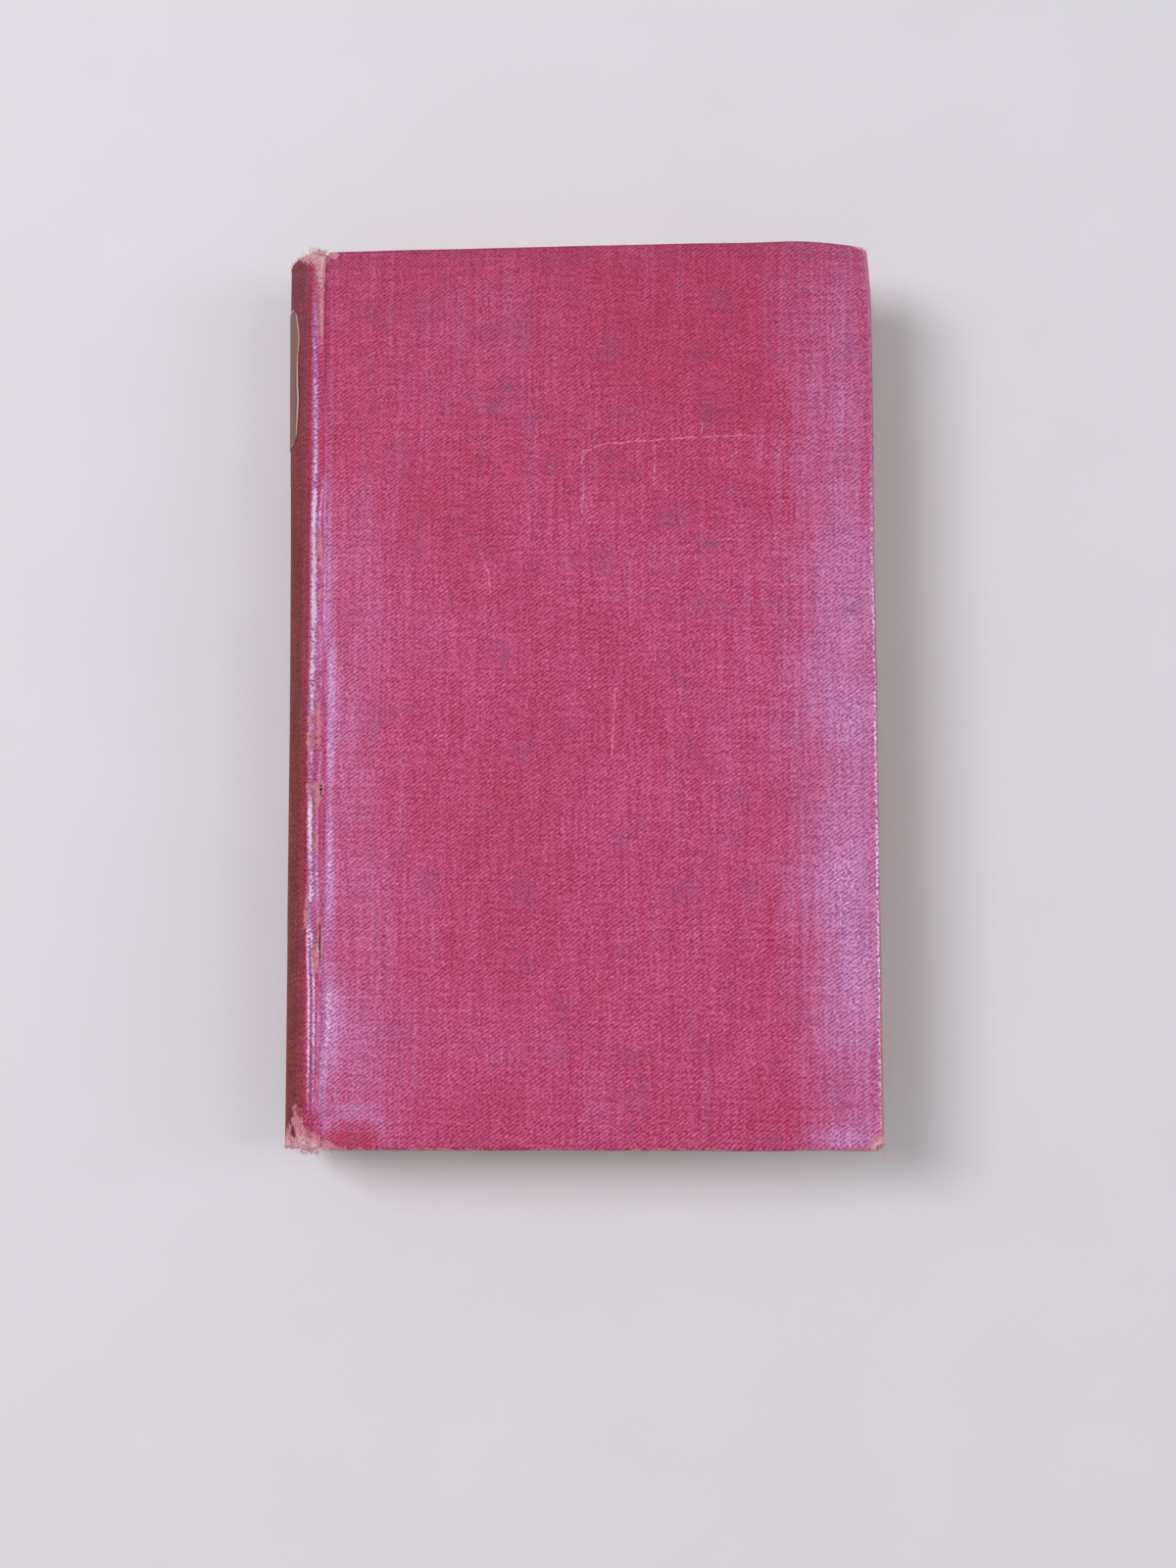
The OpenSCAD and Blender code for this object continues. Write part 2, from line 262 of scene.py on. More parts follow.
def sew(name, patches, material, thick=0.0, weld=0.002, sharp=None):
    """Joins patches along their shared edges into one piece, and thickens it inwards."""
    starts = np.cumsum([0] + [p["shape"][0] * p["shape"][1] for p in patches])
    xyz = np.concatenate([np.stack(p["xyz"], axis=-1).reshape(-1, 3) for p in patches])
    quads = []
    for p, start in zip(patches, starts):
        faces = grid_faces(*p["shape"], start)
        if p["keep"] is not None:
            faces = faces[np.asarray(p["keep"]).reshape(-1)]
        quads.append(faces[:, ::-1] if p["flip"] else faces)
    quads = np.concatenate(quads)
    mesh = bpy.data.meshes.new(name)
    mesh.from_pydata((xyz * MM).tolist(), [], quads.tolist())
    store(mesh, patches, quads)
    piece = link(name, mesh, material)
    joined = piece.modifiers.new("weld", "WELD")
    joined.merge_threshold = weld * MM
    if thick:
        solid = piece.modifiers.new("thick", "SOLIDIFY")
        solid.thickness = thick * MM
        solid.offset = -1
        solid.use_quality_normals = True
    final_mesh(piece)
    if sharp is not None:
        piece.data.set_sharp_from_angle(angle=math.radians(sharp))
    print(name, len(piece.data.polygons), "faces")
    return piece


# %% [markdown]
# Each piece is attached to the body it rides on, and the frame's nodes that it stands for are
# hidden. A piece with no body of its own is left unattached.

# %% What a piece belongs to


def finish_piece(piece, body, slot, *nodes):
    """Attaches a piece to the body it rides on and hides the nodes it stands for. The slot is not used.
    """
    if isinstance(body, str):
        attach(piece, body)
    if nodes:
        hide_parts(*nodes)


# %% [markdown]
# ## Camera
# The book was photographed from above with the camera a little towards the tail, so both long
# edges lean. The place and turn below put the cover's four corners where the photograph has them.

# %% Camera
lens_mm = 50.0
sensor_mm = 36.0
camera_place_mm = (29.4, -63.7, 476.1)
camera_turn_deg = (5.57, 3.43, -0.15)
camera_data = bpy.data.cameras.new("camera")
camera_data.lens = lens_mm
camera_data.sensor_fit = "VERTICAL"
camera_data.sensor_height = sensor_mm
camera_data.clip_start = 0.01
camera = bpy.data.objects.new("camera", camera_data)
camera.location = [c * MM for c in camera_place_mm]
camera.rotation_euler = [math.radians(c) for c in camera_turn_deg]
bpy.context.scene.collection.objects.link(camera)
bpy.context.scene.camera = camera
print("camera at", camera_place_mm, "mm")

# %% [markdown]
# ## Light
# Books are copied between two soft lamps, one on each side. The left lamp stands a little towards
# the head and is the stronger, so the shadow falls to the right and to the tail. The lamps are
# slightly cool, but the lavender of the burnished nap is painted into the cloth's colour as sheen.

# %% Lamps and world


def soft_lamp(name, place_m, size_m, watts, tint):
    """A square area lamp that looks at the book."""
    data = bpy.data.lights.new(name, "AREA")
    data.shape = "RECTANGLE"
    data.size, data.size_y = size_m
    data.energy = watts
    data.color = paint(tint)[:3]
    lamp = bpy.data.objects.new(name, data)
    lamp.location = place_m
    away = lamp.location.normalized()
    lamp.rotation_euler = away.to_track_quat("Z", "Y").to_euler()
    bpy.context.scene.collection.objects.link(lamp)
    return lamp


soft_lamp("left_lamp", (-0.70, 0.28, 1.25), (0.55, 0.75), 12.1, "#F6F1FF")
soft_lamp("right_lamp", (0.95, 0.0, 0.95), (0.35, 0.9), 3.7, "#EFEBFF")
world = bpy.data.worlds.new("studio")
world.use_nodes = True
world.node_tree.nodes.clear()
sky = add(world.node_tree, "Background", {"Color": paint("#F2F2F4"), "Strength": 0.40})
add(world.node_tree, "OutputWorld", {"Surface": sky})
bpy.context.scene.world = world
bpy.context.scene.view_settings.view_transform = "Standard"

# %% [markdown]
# The floor is a plain pale table of painted board, which reaches far beyond the book. A rolled
# coat of paint is matt and very slightly mottled, so the eye sees an even ground with a soft
# shadow.

# %% Floor
floor_half = 4000.0
mottle_width = 30.8
painted_board, tree, surface = new_material("painted_table_board", Roughness=0.9)
# Without a vector, the noise runs once from 0 to 1 across the whole table
speckle = add(tree, "TexNoise", {"Scale": 2 * floor_half / mottle_width, "Detail": 3.0})
tone = paint_over(tree, paint("#E9E8E6"), [(speckle, 0.0, 1.0, 1.0, paint("#E4E3E1"))])
dress(tree, surface, tone)
corners = [-floor_half, floor_half]
table = patch(*np.meshgrid(corners, corners, indexing="ij"), 0.0)
floor = sew("table", [table], painted_board)

# %% [markdown]
# ## Bookcloth
# Twill is woven so that each weft thread passes over two warps and steps aside by one, which
# draws ridges across the cloth at about 36 degrees. Old bookcloth is dyed cotton filled with
# starch: the tops of the ridges are rubbed pale and shine a little, the valleys keep the dye. The
# pattern could be an image, but drawn from the cloth coordinates it stays sharp at any distance.

# %% Twill values
twill_angle = math.radians(36)
twill_pitch = 0.70  # the real ridges are 0.56 mm apart, drawn slightly coarser so that they show
float_length = 0.9
cloth_colours = {
    "gap": paint("#841238"),
    "valley": paint("#A41D4B"),
    "crest": paint("#D55588"),
    # Painted glint on the highest floats, and the colour of the real scratches
    "glint": paint("#F6A4C0"),
    # Two colours of painted sheen on the burnished nap
    "lavender_valley": paint("#A2548E"),
    "lavender_crest": paint("#E099C7"),
    # Colour of the painted highlights on the ridge, on the edges and on the highest threads
    "shine": paint("#FAE6F6"),
    "crimson": paint("#CE2A4C"),
    "haze": paint("#8E4A74"),
    "soil": paint("#75486C"),
    "brown_valley": paint("#561918"),
    "brown_crest": paint("#974038"),
    "worn": paint("#D28894"),
    "fibre": paint("#E2B4B6"),
}
print("cloth colours:", len(cloth_colours))

# %% [markdown]
# Cloth coordinates run on from the spine over the ridge and the groove to the cover, because the
# real cloth is a single piece. The joint cloth's length sets where the cover's coordinates start.

# %% Cloth coordinates
groove_ts = np.linspace(0, 1, 21)
groove_xs, groove_zs = groove_point(groove_ts)
groove_run = np.concatenate([[0], np.cumsum(np.hypot(np.diff(groove_xs), np.diff(groove_zs)))])
ridge_as = np.linspace(ridge_angle, math.pi / 2, 9)
u_ridge = spine_r * ridge_angle
u_groove = u_ridge + ridge_r * (math.pi / 2 - ridge_angle)
u_cover = u_groove + groove_run[-1]
u_shift = u_cover - cover_x
print("cloth from the spine's middle to the cover:", round(u_cover, 1), "mm")

# %% [markdown]
# Everything that varies over the cloth is a cloudy pattern of its own size: yarns are thin and
# long, specks are as small as one float, and clouds of wear are as wide as a hand. Noise that is
# stretched to a width and a height in millimetres gives them all.

# %% Cloudy patterns
SMOOTH = {"interpolation_type": "SMOOTHSTEP"}
fleck_mm = 0.625
# Width and height of a grain in mm, contrast, levels, detail and roughness of each pattern
wear_patterns = {
    "cloud": ((45.45, 45.45), (0.36, 0.66), (0.0, 1.0), 4.0, 0.55),
    "mottle": ((7.692, 7.692), (0.3, 0.72), (0.0, 1.0), 5.0, 0.62),
    "streak": ((1.1765, 33.33), (0.35, 0.7), (0.0, 1.0), 2.0, 0.5),
    "slub": ((33.33, 1.3333), (0.35, 0.75), (0.0, 1.0), 3.0, 0.6),
    "bloom": ((11.11, 11.11), (0.54, 0.72), (0.0, 0.32), 4.0, 0.6),
    "crack": ((4.0, 0.3846), (0.56, 0.64), (0.0, 1.0), 3.0, 0.65),
    "fray": ((1.4286, 1.4286), (0.3, 0.7), (0.0, 1.0), 4.0, 0.65),
    "broken": ((1.1111, 1.1111), (0.35, 0.55), (0.0, 1.0), 2.0, 0.5),
}


def clouds(tree, place, size_mm, contrast, levels, detail, rough=0.5):
    """Noise with grains of a width and height, its contrast stretched to levels."""
    scale = (1 / size_mm[0], 1 / size_mm[1], 0)
    laid = add(tree, "VectorMath", {0: place, 1: scale}, operation="MULTIPLY")
    grains = add(tree, "TexNoise", {"Vector": laid, "Scale": 1.0, "Detail": detail, "Roughness": rough})
    limits = {1: contrast[0], 2: contrast[1], 3: levels[0], 4: levels[1]}
    return add(tree, "MapRange", {0: grains, **limits}, **SMOOTH)


def wear_clouds(tree, place):
    """The patterns of wear by name, and the flecks of single fibres."""
    patterns = {name: clouds(tree, place, *values) for name, values in wear_patterns.items()}
    fleck = {"Vector": place, "Scale": 1 / fleck_mm, "Detail": 2.0, "Roughness": 0.6}
    return {**patterns, "fleck": add(tree, "TexNoise", fleck)}


grains_mm = [size for values in wear_patterns.values() for size in values[0]]
print("grains of wear from", min(grains_mm), "to", max(grains_mm), "mm")

# %% [markdown]
# The relief of the twill is a sine across the ridges, wobbled a little as hand-stretched cloth
# is. Floats, yarns and specks took the dye and the wear a little differently, and together with
# the ridges they say how high each spot stands. That sum is called the crest here.

# %% Twill relief


def twill_relief(tree, place):
    """The patterns of the weave by name: its grain, specks, crests and height."""
    across = (-math.sin(twill_angle) / twill_pitch, math.cos(twill_angle) / twill_pitch, 0)
    along = (math.cos(twill_angle) / float_length, math.sin(twill_angle) / float_length, 0)
    count = add(tree, "VectorMath", {0: place, 1: across}, operation="DOT_PRODUCT").outputs["Value"]
    wobble = clouds(tree, place, (16.67, 16.67), (0.0, 1.0), (0.0, 1.2), 2.0)
    count = weighted(tree, [(wobble, 1.0)], count)
    wave = add(tree, "Math", {0: weighted(tree, [(count, 2 * math.pi)])}, operation="SINE")
    ridge = add(tree, "MapRange", {0: wave, 1: -1.0}, **SMOOTH)
    run = add(tree, "VectorMath", {0: place, 1: along}, operation="DOT_PRODUCT").outputs["Value"]
    floats = add(tree, "CombineXYZ", {"X": run, "Y": count})
    float_tone = clouds(tree, floats, (0.8, 0.8), (0.28, 0.72), (-0.5, 0.5), 1.0)
    grain = clouds(tree, place, (0.5714, 0.5714), (0.28, 0.72), (-0.5, 0.5), 1.0, 0.6)
    weft = clouds(tree, place, (6.25, 0.6667), (0.25, 0.75), (-0.5, 0.5), 1.0)
    warp = clouds(tree, place, (0.8333, 14.286), (0.25, 0.75), (-0.5, 0.5), 1.0)
    speck = weighted(tree, [(float_tone, 0.34), (grain, 0.46)])
    crest = weighted(tree, [(ridge, 0.34), (weft, 0.20), (warp, 0.16), (speck, 1.0)], 0.32)
    height = weighted(tree, [(ridge, 0.6)], speck)
    return {"grain": grain, "speck": speck, "crest": crest, "height": height}


print("ridges to a centimetre:", round(10 / twill_pitch, 1))

# %% [markdown]
# The meshes carry six marks: pale for burnished nap and the painted sheen and
# highlights on it, rub for worn edges, soil for smudges, sun for the part that daylight has
# browned, fresh for dye that has stayed rich and for painted shade on the turned edges, and
# crease for painted shade in folds. The dye comes first: dark in the valleys, pale on the
# crests, rich where it is fresh, with a violet haze where the starch has bloomed.

# %% Dye
mark_names = ("pale", "rub", "soil", "sun", "fresh", "crease")


def dyed(tree, p, marks):
    """The cloth's colour as dyed, with painted highlights on its highest floats."""
    c = cloth_colours
    crest = p["crest"]
    threads = [
        (crest, -0.3, 0.2, 1.0, c["valley"]),
        (crest, 0.1, 0.85, 1.0, c["crest"]),
        # Painted highlight: the highest floats drawn as if they caught the light
        (crest, 0.80, 1.20, 0.8, c["glint"]),
    ]
    dye = paint_over(tree, c["gap"], threads, "SMOOTHSTEP")
    rich = paint_over(tree, c["gap"], [(crest, 0.0, 0.9, 1.0, c["crimson"])], "SMOOTHSTEP")
    clouded = weighted(tree, [(p["cloud"], p["mottle"])])
    fresh = weighted(tree, [(clouded, 0.34)], marks["fresh"])
    over = [(fresh, 0.0, 1.0, 0.85, rich), (p["bloom"], 0.0, 1.0, 1.0, c["haze"])]
    return paint_over(tree, dye, over)


print("marks:", ", ".join(mark_names))

# %% [markdown]
# Handling burnishes the nap and makes it glossier. Its lavender and the gleam on the highest
# threads are painted sheen and painted highlight in its colour. Daylight has turned the spine's red
# dye brown, and fine cracks cross it.

# %% Burnish, painted sheen and browning


def burnished(tree, dye, p, marks):
    """The colour with painted sheen on the smoothed nap, streaky as the threads lie, and painted
    highlights.
    """
    c = cloth_colours
    high = (p["crest"], 0.05, 0.85, 1.0, c["lavender_crest"])
    nap = paint_over(tree, c["lavender_valley"], [high], "SMOOTHSTEP")
    sheltered = add(tree, "MapRange", {0: p["cloud"], 3: 0.07, 4: -0.07}, **SMOOTH)
    streaks = [(p["streak"], 0.16), (p["slub"], 0.12), (sheltered, 1.0)]
    amount = weighted(tree, streaks, marks["pale"])
    # Painted highlight on the highest threads, where the sheen is strongest
    gleam = weighted(tree, [(p["speck"], 1.3)], marks["pale"])
    over = [(amount, 0.0, 1.0, 1.0, nap), (gleam, 0.90, 1.48, 1.0, c["shine"])]
    return paint_over(tree, dye, over, "SMOOTHSTEP")


def browned(tree, dye, p, marks):
    """The colour with the sun's brown over it, mottled and finely cracked."""
    c = cloth_colours
    crests = (p["crest"], 0.0, 0.9, 1.0, c["brown_crest"])
    patches = (p["mottle"], 0.2, 0.9, 0.35, c["brown_valley"])
    brown = paint_over(tree, c["brown_valley"], [crests, patches], "SMOOTHSTEP")
    brown = paint_over(tree, brown, [(p["crack"], 0.0, 1.0, 0.35, c["brown_valley"])])
    return paint_over(tree, dye, [(marks["sun"], 0.0, 1.0, 1.0, brown)])


print("linear red of a browned valley:", round(cloth_colours["brown_valley"][0], 3))

# %% [markdown]
# Smudges break up into the weave. Rubbing takes the crests first: their dye goes, then the pale
# fibre of the cotton shows, while the pits between the threads stay red.

# %% Smudges and rubbing


def worn(tree, dye, p, marks):
    """The colour with smudges, rubbed threads and painted shade in folds."""
    c = cloth_colours
    cloudy = add(tree, "MapRange", {0: p["mottle"], 3: 0.5, 4: 1.1}, **SMOOTH)
    flecked = add(tree, "MapRange", {0: p["fleck"], 1: 0.35, 2: 0.65, 3: 0.6, 4: 1.2}, **SMOOTH)
    soil = weighted(tree, [(marks["soil"], cloudy)])
    soil = weighted(tree, [(soil, flecked)])
    dye = paint_over(tree, dye, [(soil, 0.0, 0.9, 0.9, c["soil"])])
    reached = [(marks["rub"], 1.9), (p["crest"], 0.4), (p["fleck"], 0.5), (p["fray"], 0.55)]
    bare = weighted(tree, reached)
    over = [(bare, 1.15, 1.55, 1.0, c["worn"]), (bare, 1.9, 2.6, 1.0, c["fibre"])]
    dye = paint_over(tree, dye, over, "SMOOTHSTEP")
    deep = add(tree, "MapRange", {0: p["grain"], 1: 0.1, 2: 0.35}, **SMOOTH)
    rubbed = add(tree, "MapRange", {0: marks["rub"], 1: 0.2, 2: 0.6}, **SMOOTH)
    pit = weighted(tree, [(deep, rubbed)])
    # The pits keep their dye; the folds get painted shade
    over = [(pit, 0.0, 1.0, 0.6, c["valley"]), (marks["crease"], 0.0, 1.0, 1.0, c["brown_valley"])]
    return paint_over(tree, dye, over)


print("linear red of bare fibre:", round(cloth_colours["fibre"][0], 3))

# %% [markdown]
# Scratches are thin pale lines where the filler was scored. Each one is the distance to a short
# line on the cloth, so it stays as fine as the real mark. The place is shaken a little first, as
# a slip of the hand is, and the line is broken up by the threads.

# %% Scratches
scratches_mm = [
    ((1.8, 50.3), (6.6, 51.9)),
    ((6.6, 51.9), (23.4, 52.8)),
    ((23.4, 52.8), (36.5, 53.3)),
    ((16.9, 51.3), (16.8, 41.9)),
    ((2.0, 43.8), (1.6, 37.1)),
    ((1.9, 50.3), (1.5, 47.6)),
    ((26.8, 56.3), (26.7, 53.0)),
    ((18.6, 43.0), (19.4, 41.4)),
    ((-19.8, 29.2), (-18.0, 24.6)),
    ((-18.0, 24.6), (-17.6, 20.0)),
    ((7.6, -14.8), (8.4, 0.5)),
    ((-43.6, 72.1), (-42.4, 72.5)),
    ((-5.4, 47.3), (-4.2, 46.6)),
]
shake_mm = 0.8
far_off = 9.0


def scratch_distance(tree, place, start, end):
    """Distance on the cloth from a place to the line from start to end, in millimetres."""
    along = np.subtract(end, start)
    share = along / along.dot(along)
    offset = add(tree, "VectorMath", {0: place, 1: (*start, 0)}, operation="SUBTRACT")
    t = add(tree, "VectorMath", {0: offset, 1: (*share, 0)}, operation="DOT_PRODUCT")
    held = add(tree, "Clamp", {"Value": t.outputs["Value"]})
    reach = add(tree, "VectorMath", {0: (*along, 0), "Scale": held}, operation="SCALE")
    return add(tree, "VectorMath", {0: offset, 1: reach}, operation="DISTANCE").outputs["Value"]


def scratched(tree, dye, p, place):
    """The colour with the scratches over it."""
    shaky = add(tree, "TexNoise", {"Vector": place, "Scale": 1 / 2.0, "Detail": 2.0})
    reach = (shake_mm, shake_mm, 0)
    nudge = add(tree, "VectorMath", {0: shaky.outputs["Color"], 1: reach}, operation="MULTIPLY")
    shaken = add(tree, "VectorMath", {0: place, 1: nudge}, operation="ADD")
    nearest = far_off
    for ends in scratches_mm:
        start, end = [(x + u_shift + shake_mm / 2, y + shake_mm / 2) for x, y in ends]
        distance = scratch_distance(tree, shaken, start, end)
        nearest = add(tree, "Math", {0: distance, 1: nearest}, operation="MINIMUM")
    line = add(tree, "MapRange", {0: nearest, 1: 0.06, 2: 0.28, 3: 0.42, 4: 0.0}, **SMOOTH)
    mark = weighted(tree, [(line, p["broken"])])
    return paint_over(tree, dye, [(mark, 0.0, 1.0, 1.0, cloth_colours["glint"])])


print("scratches:", len(scratches_mm))

# %% [markdown]
# The real cloth is cotton twill, dyed in the piece, filled with starch and calendered. It gives
# the eye a matt red ground with a low gloss where the crests are smooth, duller again where it is
# rubbed or browned. Its IOR is that of starch and cotton.

# %% Bookcloth material


def make_bookcloth():
    """The whole finish, in the order in which the cloth was made and worn."""
    cloth, tree, surface = new_material("starch_filled_cotton_twill", IOR=1.45)
    place = add(tree, "UVMap", uv_map="cloth")
    marks = {name: add(tree, "Attribute", attribute_name=name).outputs["Fac"] for name in mark_names}
    p = {**twill_relief(tree, place), **wear_clouds(tree, place)}
    colour = dyed(tree, p, marks)
    for step in (burnished, browned, worn):
        colour = step(tree, colour, p, marks)
    colour = scratched(tree, colour, p, place)
    smooth = weighted(tree, [(p["crest"], 0.3)], marks["pale"])
    gloss = add(tree, "MapRange", {0: smooth, 2: 1.6, 3: 0.66, 4: 0.26}, **SMOOTH)
    dull = weighted(tree, [(marks["rub"], 0.3), (marks["sun"], 0.3)], gloss)
    tree.links.new(dull.outputs[0], surface.inputs["Roughness"])
    cracked = weighted(tree, [(p["crack"], marks["sun"])])
    relief = weighted(tree, [(cracked, -1.0)], p["height"])
    dress(tree, surface, colour, relief, 0.45, 0.12)
    return cloth


bookcloth = make_bookcloth()
print("bookcloth nodes:", len(bookcloth.node_tree.nodes))

# %% [markdown]
# ## Covers
# Wear never runs evenly along an edge. A smooth random line, always drawn from the same seed,
# gives every wavering width and strength, and three small functions shape the marks: a ramp, a
# soft line and a soft round spot.

# %% Helpers for wear


def wander(t, seed, pitch):
    """A smooth random line through evenly spaced values from -1 to 1."""
    source = np.random.default_rng(seed)
    values = source.uniform(-1, 1, 400)
    s = np.asarray(t, float) / pitch + 200
    i = np.clip(np.floor(s).astype(int), 0, 398)
    f = np.clip(s - i, 0, 1)
    f = f * f * (3 - 2 * f)
    return values[i] * (1 - f) + values[i + 1] * f


def patchy(t, seed, pitch, mean, swing, least=0.0):
    """A strength that wanders round its mean, between least and 1."""
    return np.clip(mean + swing * wander(t, seed, pitch), least, 1)


def ramp(value, start, end):
    """0 up to start, 1 from end on and straight between."""
    return np.clip((value - start) / (end - start), 0, 1)


def soft_line(off, half_width):
    """1 on a line and soft to both sides, by the distance from it."""
    return np.exp(-((off / half_width) ** 2))


def bump_at(x, y, cx, cy, rx, ry):
    """A soft round spot, 1 in its middle."""
    return np.exp(-(((x - cx) / rx) ** 2) - ((y - cy) / ry) ** 2)


def spots_at(x, y, spots):
    """The sum of soft spots, each given by its middle, its two radii and its strength."""
    return sum(strength * bump_at(x, y, cx, cy, rx, ry) for cx, cy, rx, ry, strength in spots)


print("a soft line at its half width:", round(float(soft_line(1.0, 1.0)), 2))

# %% [markdown]
# A cover is greyboard with cloth drawn over three edges and glued down inside. Old boards bow a
# little and their corners are bumped. The same bump moves the board and its cloth, so that nothing
# pokes through: it could be a modifier, but a plain function on the points serves both.

# %% The shape of a worn cover
edge_r = 1.0
corner_r = 2.0
turn_in = 15.0
low_z = cover_low[2]
head_bump = {"reach": 17.0, "along": 1.5, "in": 0.8, "down": 0.9}
bow_mm = 0.45
near_edge = 10.0


def warp_front(x, y, z):
    """The front cover's bow, its bumped head corner and the wander of its edges."""
    across = (x - (cover_x + fore_x) / 2) / ((fore_x - cover_x) / 2)
    upward = ramp(z, low_z, top_z)
    lift = bow_mm * (1 - across**2) * (1 - 0.35 * (y / half_h) ** 2)
    off = np.hypot(fore_x - x, half_h - y)
    pull = ramp(off, head_bump["reach"], 0) ** 1.6
    edge = ramp(half_h - y, near_edge, 0)
    side = ramp(fore_x - x, near_edge, 0)
    x = x - head_bump["in"] * pull * side + 0.12 * wander(y, 3, 14) * side
    y_edge = ramp(half_h - np.abs(y), near_edge, 0)
    dip = ramp(np.hypot(x - cover_x - 5, y + half_h), 12, 0)
    z = z + (lift - head_bump["down"] * pull - 0.5 * dip) * upward
    y = y - head_bump["along"] * pull * edge + 0.10 * wander(x, 4, 12) * y_edge
    return x, y, z


def as_built(x, y, z):
    """No wear on the shape."""
    return x, y, z


print("the head corner is pushed in by", head_bump["along"], "mm")

# %% [markdown]
# The points lie close together at the rounded edges and further apart on the flat, which keeps the
# round edge smooth at a fair number of faces. Points near a corner slide onto its arc.

# %% Stations and corners
station_mm = 1.3


def edge_stations(start, end, fine_start):
    """Evenly spaced stations that close up towards the round edges."""
    near = np.array([0, 0.3, 0.6, 1.0, 1.6, 2.4])
    left = start + near if fine_start else np.array([start])
    right = end - near[::-1]
    count = int((right[0] - left[-1]) / station_mm)
    return np.concatenate([left, np.linspace(left[-1], right[0], count + 1)[1:-1], right])


def round_corners(x, y, right, top, radius):
    """Moves points in the two fore-edge corners of a rectangle onto its round corners."""
    a = np.clip((x - (right - radius)) / radius, 0, 1)
    b = np.clip((np.abs(y) - (top - radius)) / radius, 0, 1)
    corner = (a > 0) & (b > 0)
    bent_x = right - radius + radius * a * np.sqrt(1 - b * b / 2)
    bent_y = np.sign(y) * (top - radius + radius * b * np.sqrt(1 - a * a / 2))
    return np.where(corner, bent_x, x), np.where(corner, bent_y, y)


print("stations across a cover:", len(edge_stations(cover_x, fore_x - edge_r, False)))

# %% [markdown]
# A sheet over a board has a face and rings that run on from it over each edge: round the top edge,
# down the side, round the lower edge and in under the board. Each ring has a distance inward, a
# height and a length of cloth used so far.

# %% Cloth over a board
under_r = 0.4
turned_rings = (1.5, 3.0, 6.0, 10.0)


def edge_rings(inset, low, high, turn):
    """Inset, height and cloth run of each ring that follows the face's edge."""
    radius = edge_r - inset
    rings = []
    for a in np.radians(np.linspace(0, 90, 6)):
        rings.append((inset + radius * (1 - math.sin(a)), high - radius * (1 - math.cos(a)), radius * a))
    run = rings[-1][2] + high - radius - (low + under_r)
    for a in np.radians(np.linspace(0, 90, 4)):
        inward = inset + under_r * (1 - math.cos(a))
        rings.append((inward, low + under_r * (1 - math.sin(a)), run + under_r * a))
    for step in (*turned_rings, turn):
        rings.append((inset + step, low, run + step))
    return (np.array(column)[:, None] for column in zip(*rings))


def slab(inset, low, high, turn, warp, mark, keep=None):
    """Patches of a sheet over a board: its face, its rounded edges and what is turned in."""
    xs = edge_stations(cover_x, fore_x - edge_r, False)
    ys = edge_stations(-half_h + edge_r, half_h - edge_r, True)
    d, z_of_ring, depth = edge_rings(inset, low, high, turn)

    def ring_points(x, y):
        """Points of every ring for a row of points on the face's edge."""
        sx = cover_x + (x - cover_x) * (fore_x - d - cover_x) / (fore_x - edge_r - cover_x)
        sy = y * (half_h - d) / (half_h - edge_r)
        px, py = round_corners(sx, sy, fore_x - d, half_h - d, np.maximum(corner_r - d, 0.3))
        return px, py, np.broadcast_to(z_of_ring, px.shape)

    patches = []

    def put(x, y, z, u, v, flip, depth):
        """Adds one patch with its wear and its marks."""
        wx, wy, wz = warp(x, y, z)
        marks = mark(x, y, z, depth)
        kept = None if keep is None else keep(x, y, z)
        patches.append(patch(wx, wy, wz, u + u_shift, v, kept, flip, **marks))

    gx, gy = np.meshgrid(xs, ys, indexing="ij")
    fx, fy = round_corners(gx, gy, fore_x - edge_r, half_h - edge_r, corner_r - edge_r)
    put(fx, fy, np.full(fx.shape, high), gx, gy, False, np.zeros(fx.shape))
    px, py, pz = ring_points(np.full(ys.shape, fore_x - edge_r), ys)
    put(px, py, pz, fore_x - edge_r + depth + 0 * px, ys + 0 * px, False, depth + 0 * px)
    for side in (1, -1):
        px, py, pz = ring_points(xs, np.full(xs.shape, side * (half_h - edge_r)))
        v = side * (half_h - edge_r + depth) + 0 * px
        put(px, py, pz, xs + 0 * px, v, side > 0, depth + 0 * px)
    return patches


print("rings over each edge:", len(list(edge_rings(0.0, low_z, top_z, turn_in))[0]))

# %% [markdown]
# ## Marks of use
# Dust and damp have left small violet smudges on the front cover, each a soft spot. Where the
# cloth rises onto the board a bright line of painted highlight runs, wandering as the board's edge
# does under it.

# %% Smudges and the painted highlight at the board's edge
# Middle, two radii and strength of each smudge
smudges_mm = [
    (-14.1, 63.9, 1.0, 0.9, 0.95),
    (-16.8, 59.7, 0.9, 2.2, 0.55),
    (-4.4, 47.5, 1.4, 1.9, 0.50),
    (10.9, 44.7, 2.0, 1.3, 0.50),
    (9.9, 58.2, 2.6, 1.0, 0.40),
    (27.6, 57.4, 1.8, 2.4, 0.40),
    (-24.7, 35.6, 1.8, 1.2, 0.38),
    (-32.7, 30.1, 1.6, 1.5, 0.60),
    (-14.1, 7.0, 0.9, 0.8, 1.40),
    (-16.5, 10.0, 2.4, 1.6, 0.30),
    (28.4, 30.2, 1.8, 0.8, 0.62),
    (25.5, 31.6, 1.2, 0.9, 0.55),
    (34.0, -22.2, 1.6, 1.1, 0.60),
    (43.1, -20.2, 2.6, 1.6, 0.28),
    (57.7, 16.4, 2.2, 1.6, 0.40),
    (-14.1, 24.1, 1.4, 1.6, 0.32),
    (-9.5, -11.6, 2.4, 2.0, 0.25),
    (-17.0, 77.0, 7.0, 1.6, 0.22),
    (26.0, 70.0, 2.2, 1.6, 0.35),
    (-30.0, 80.0, 4.0, 3.0, 0.14),
]
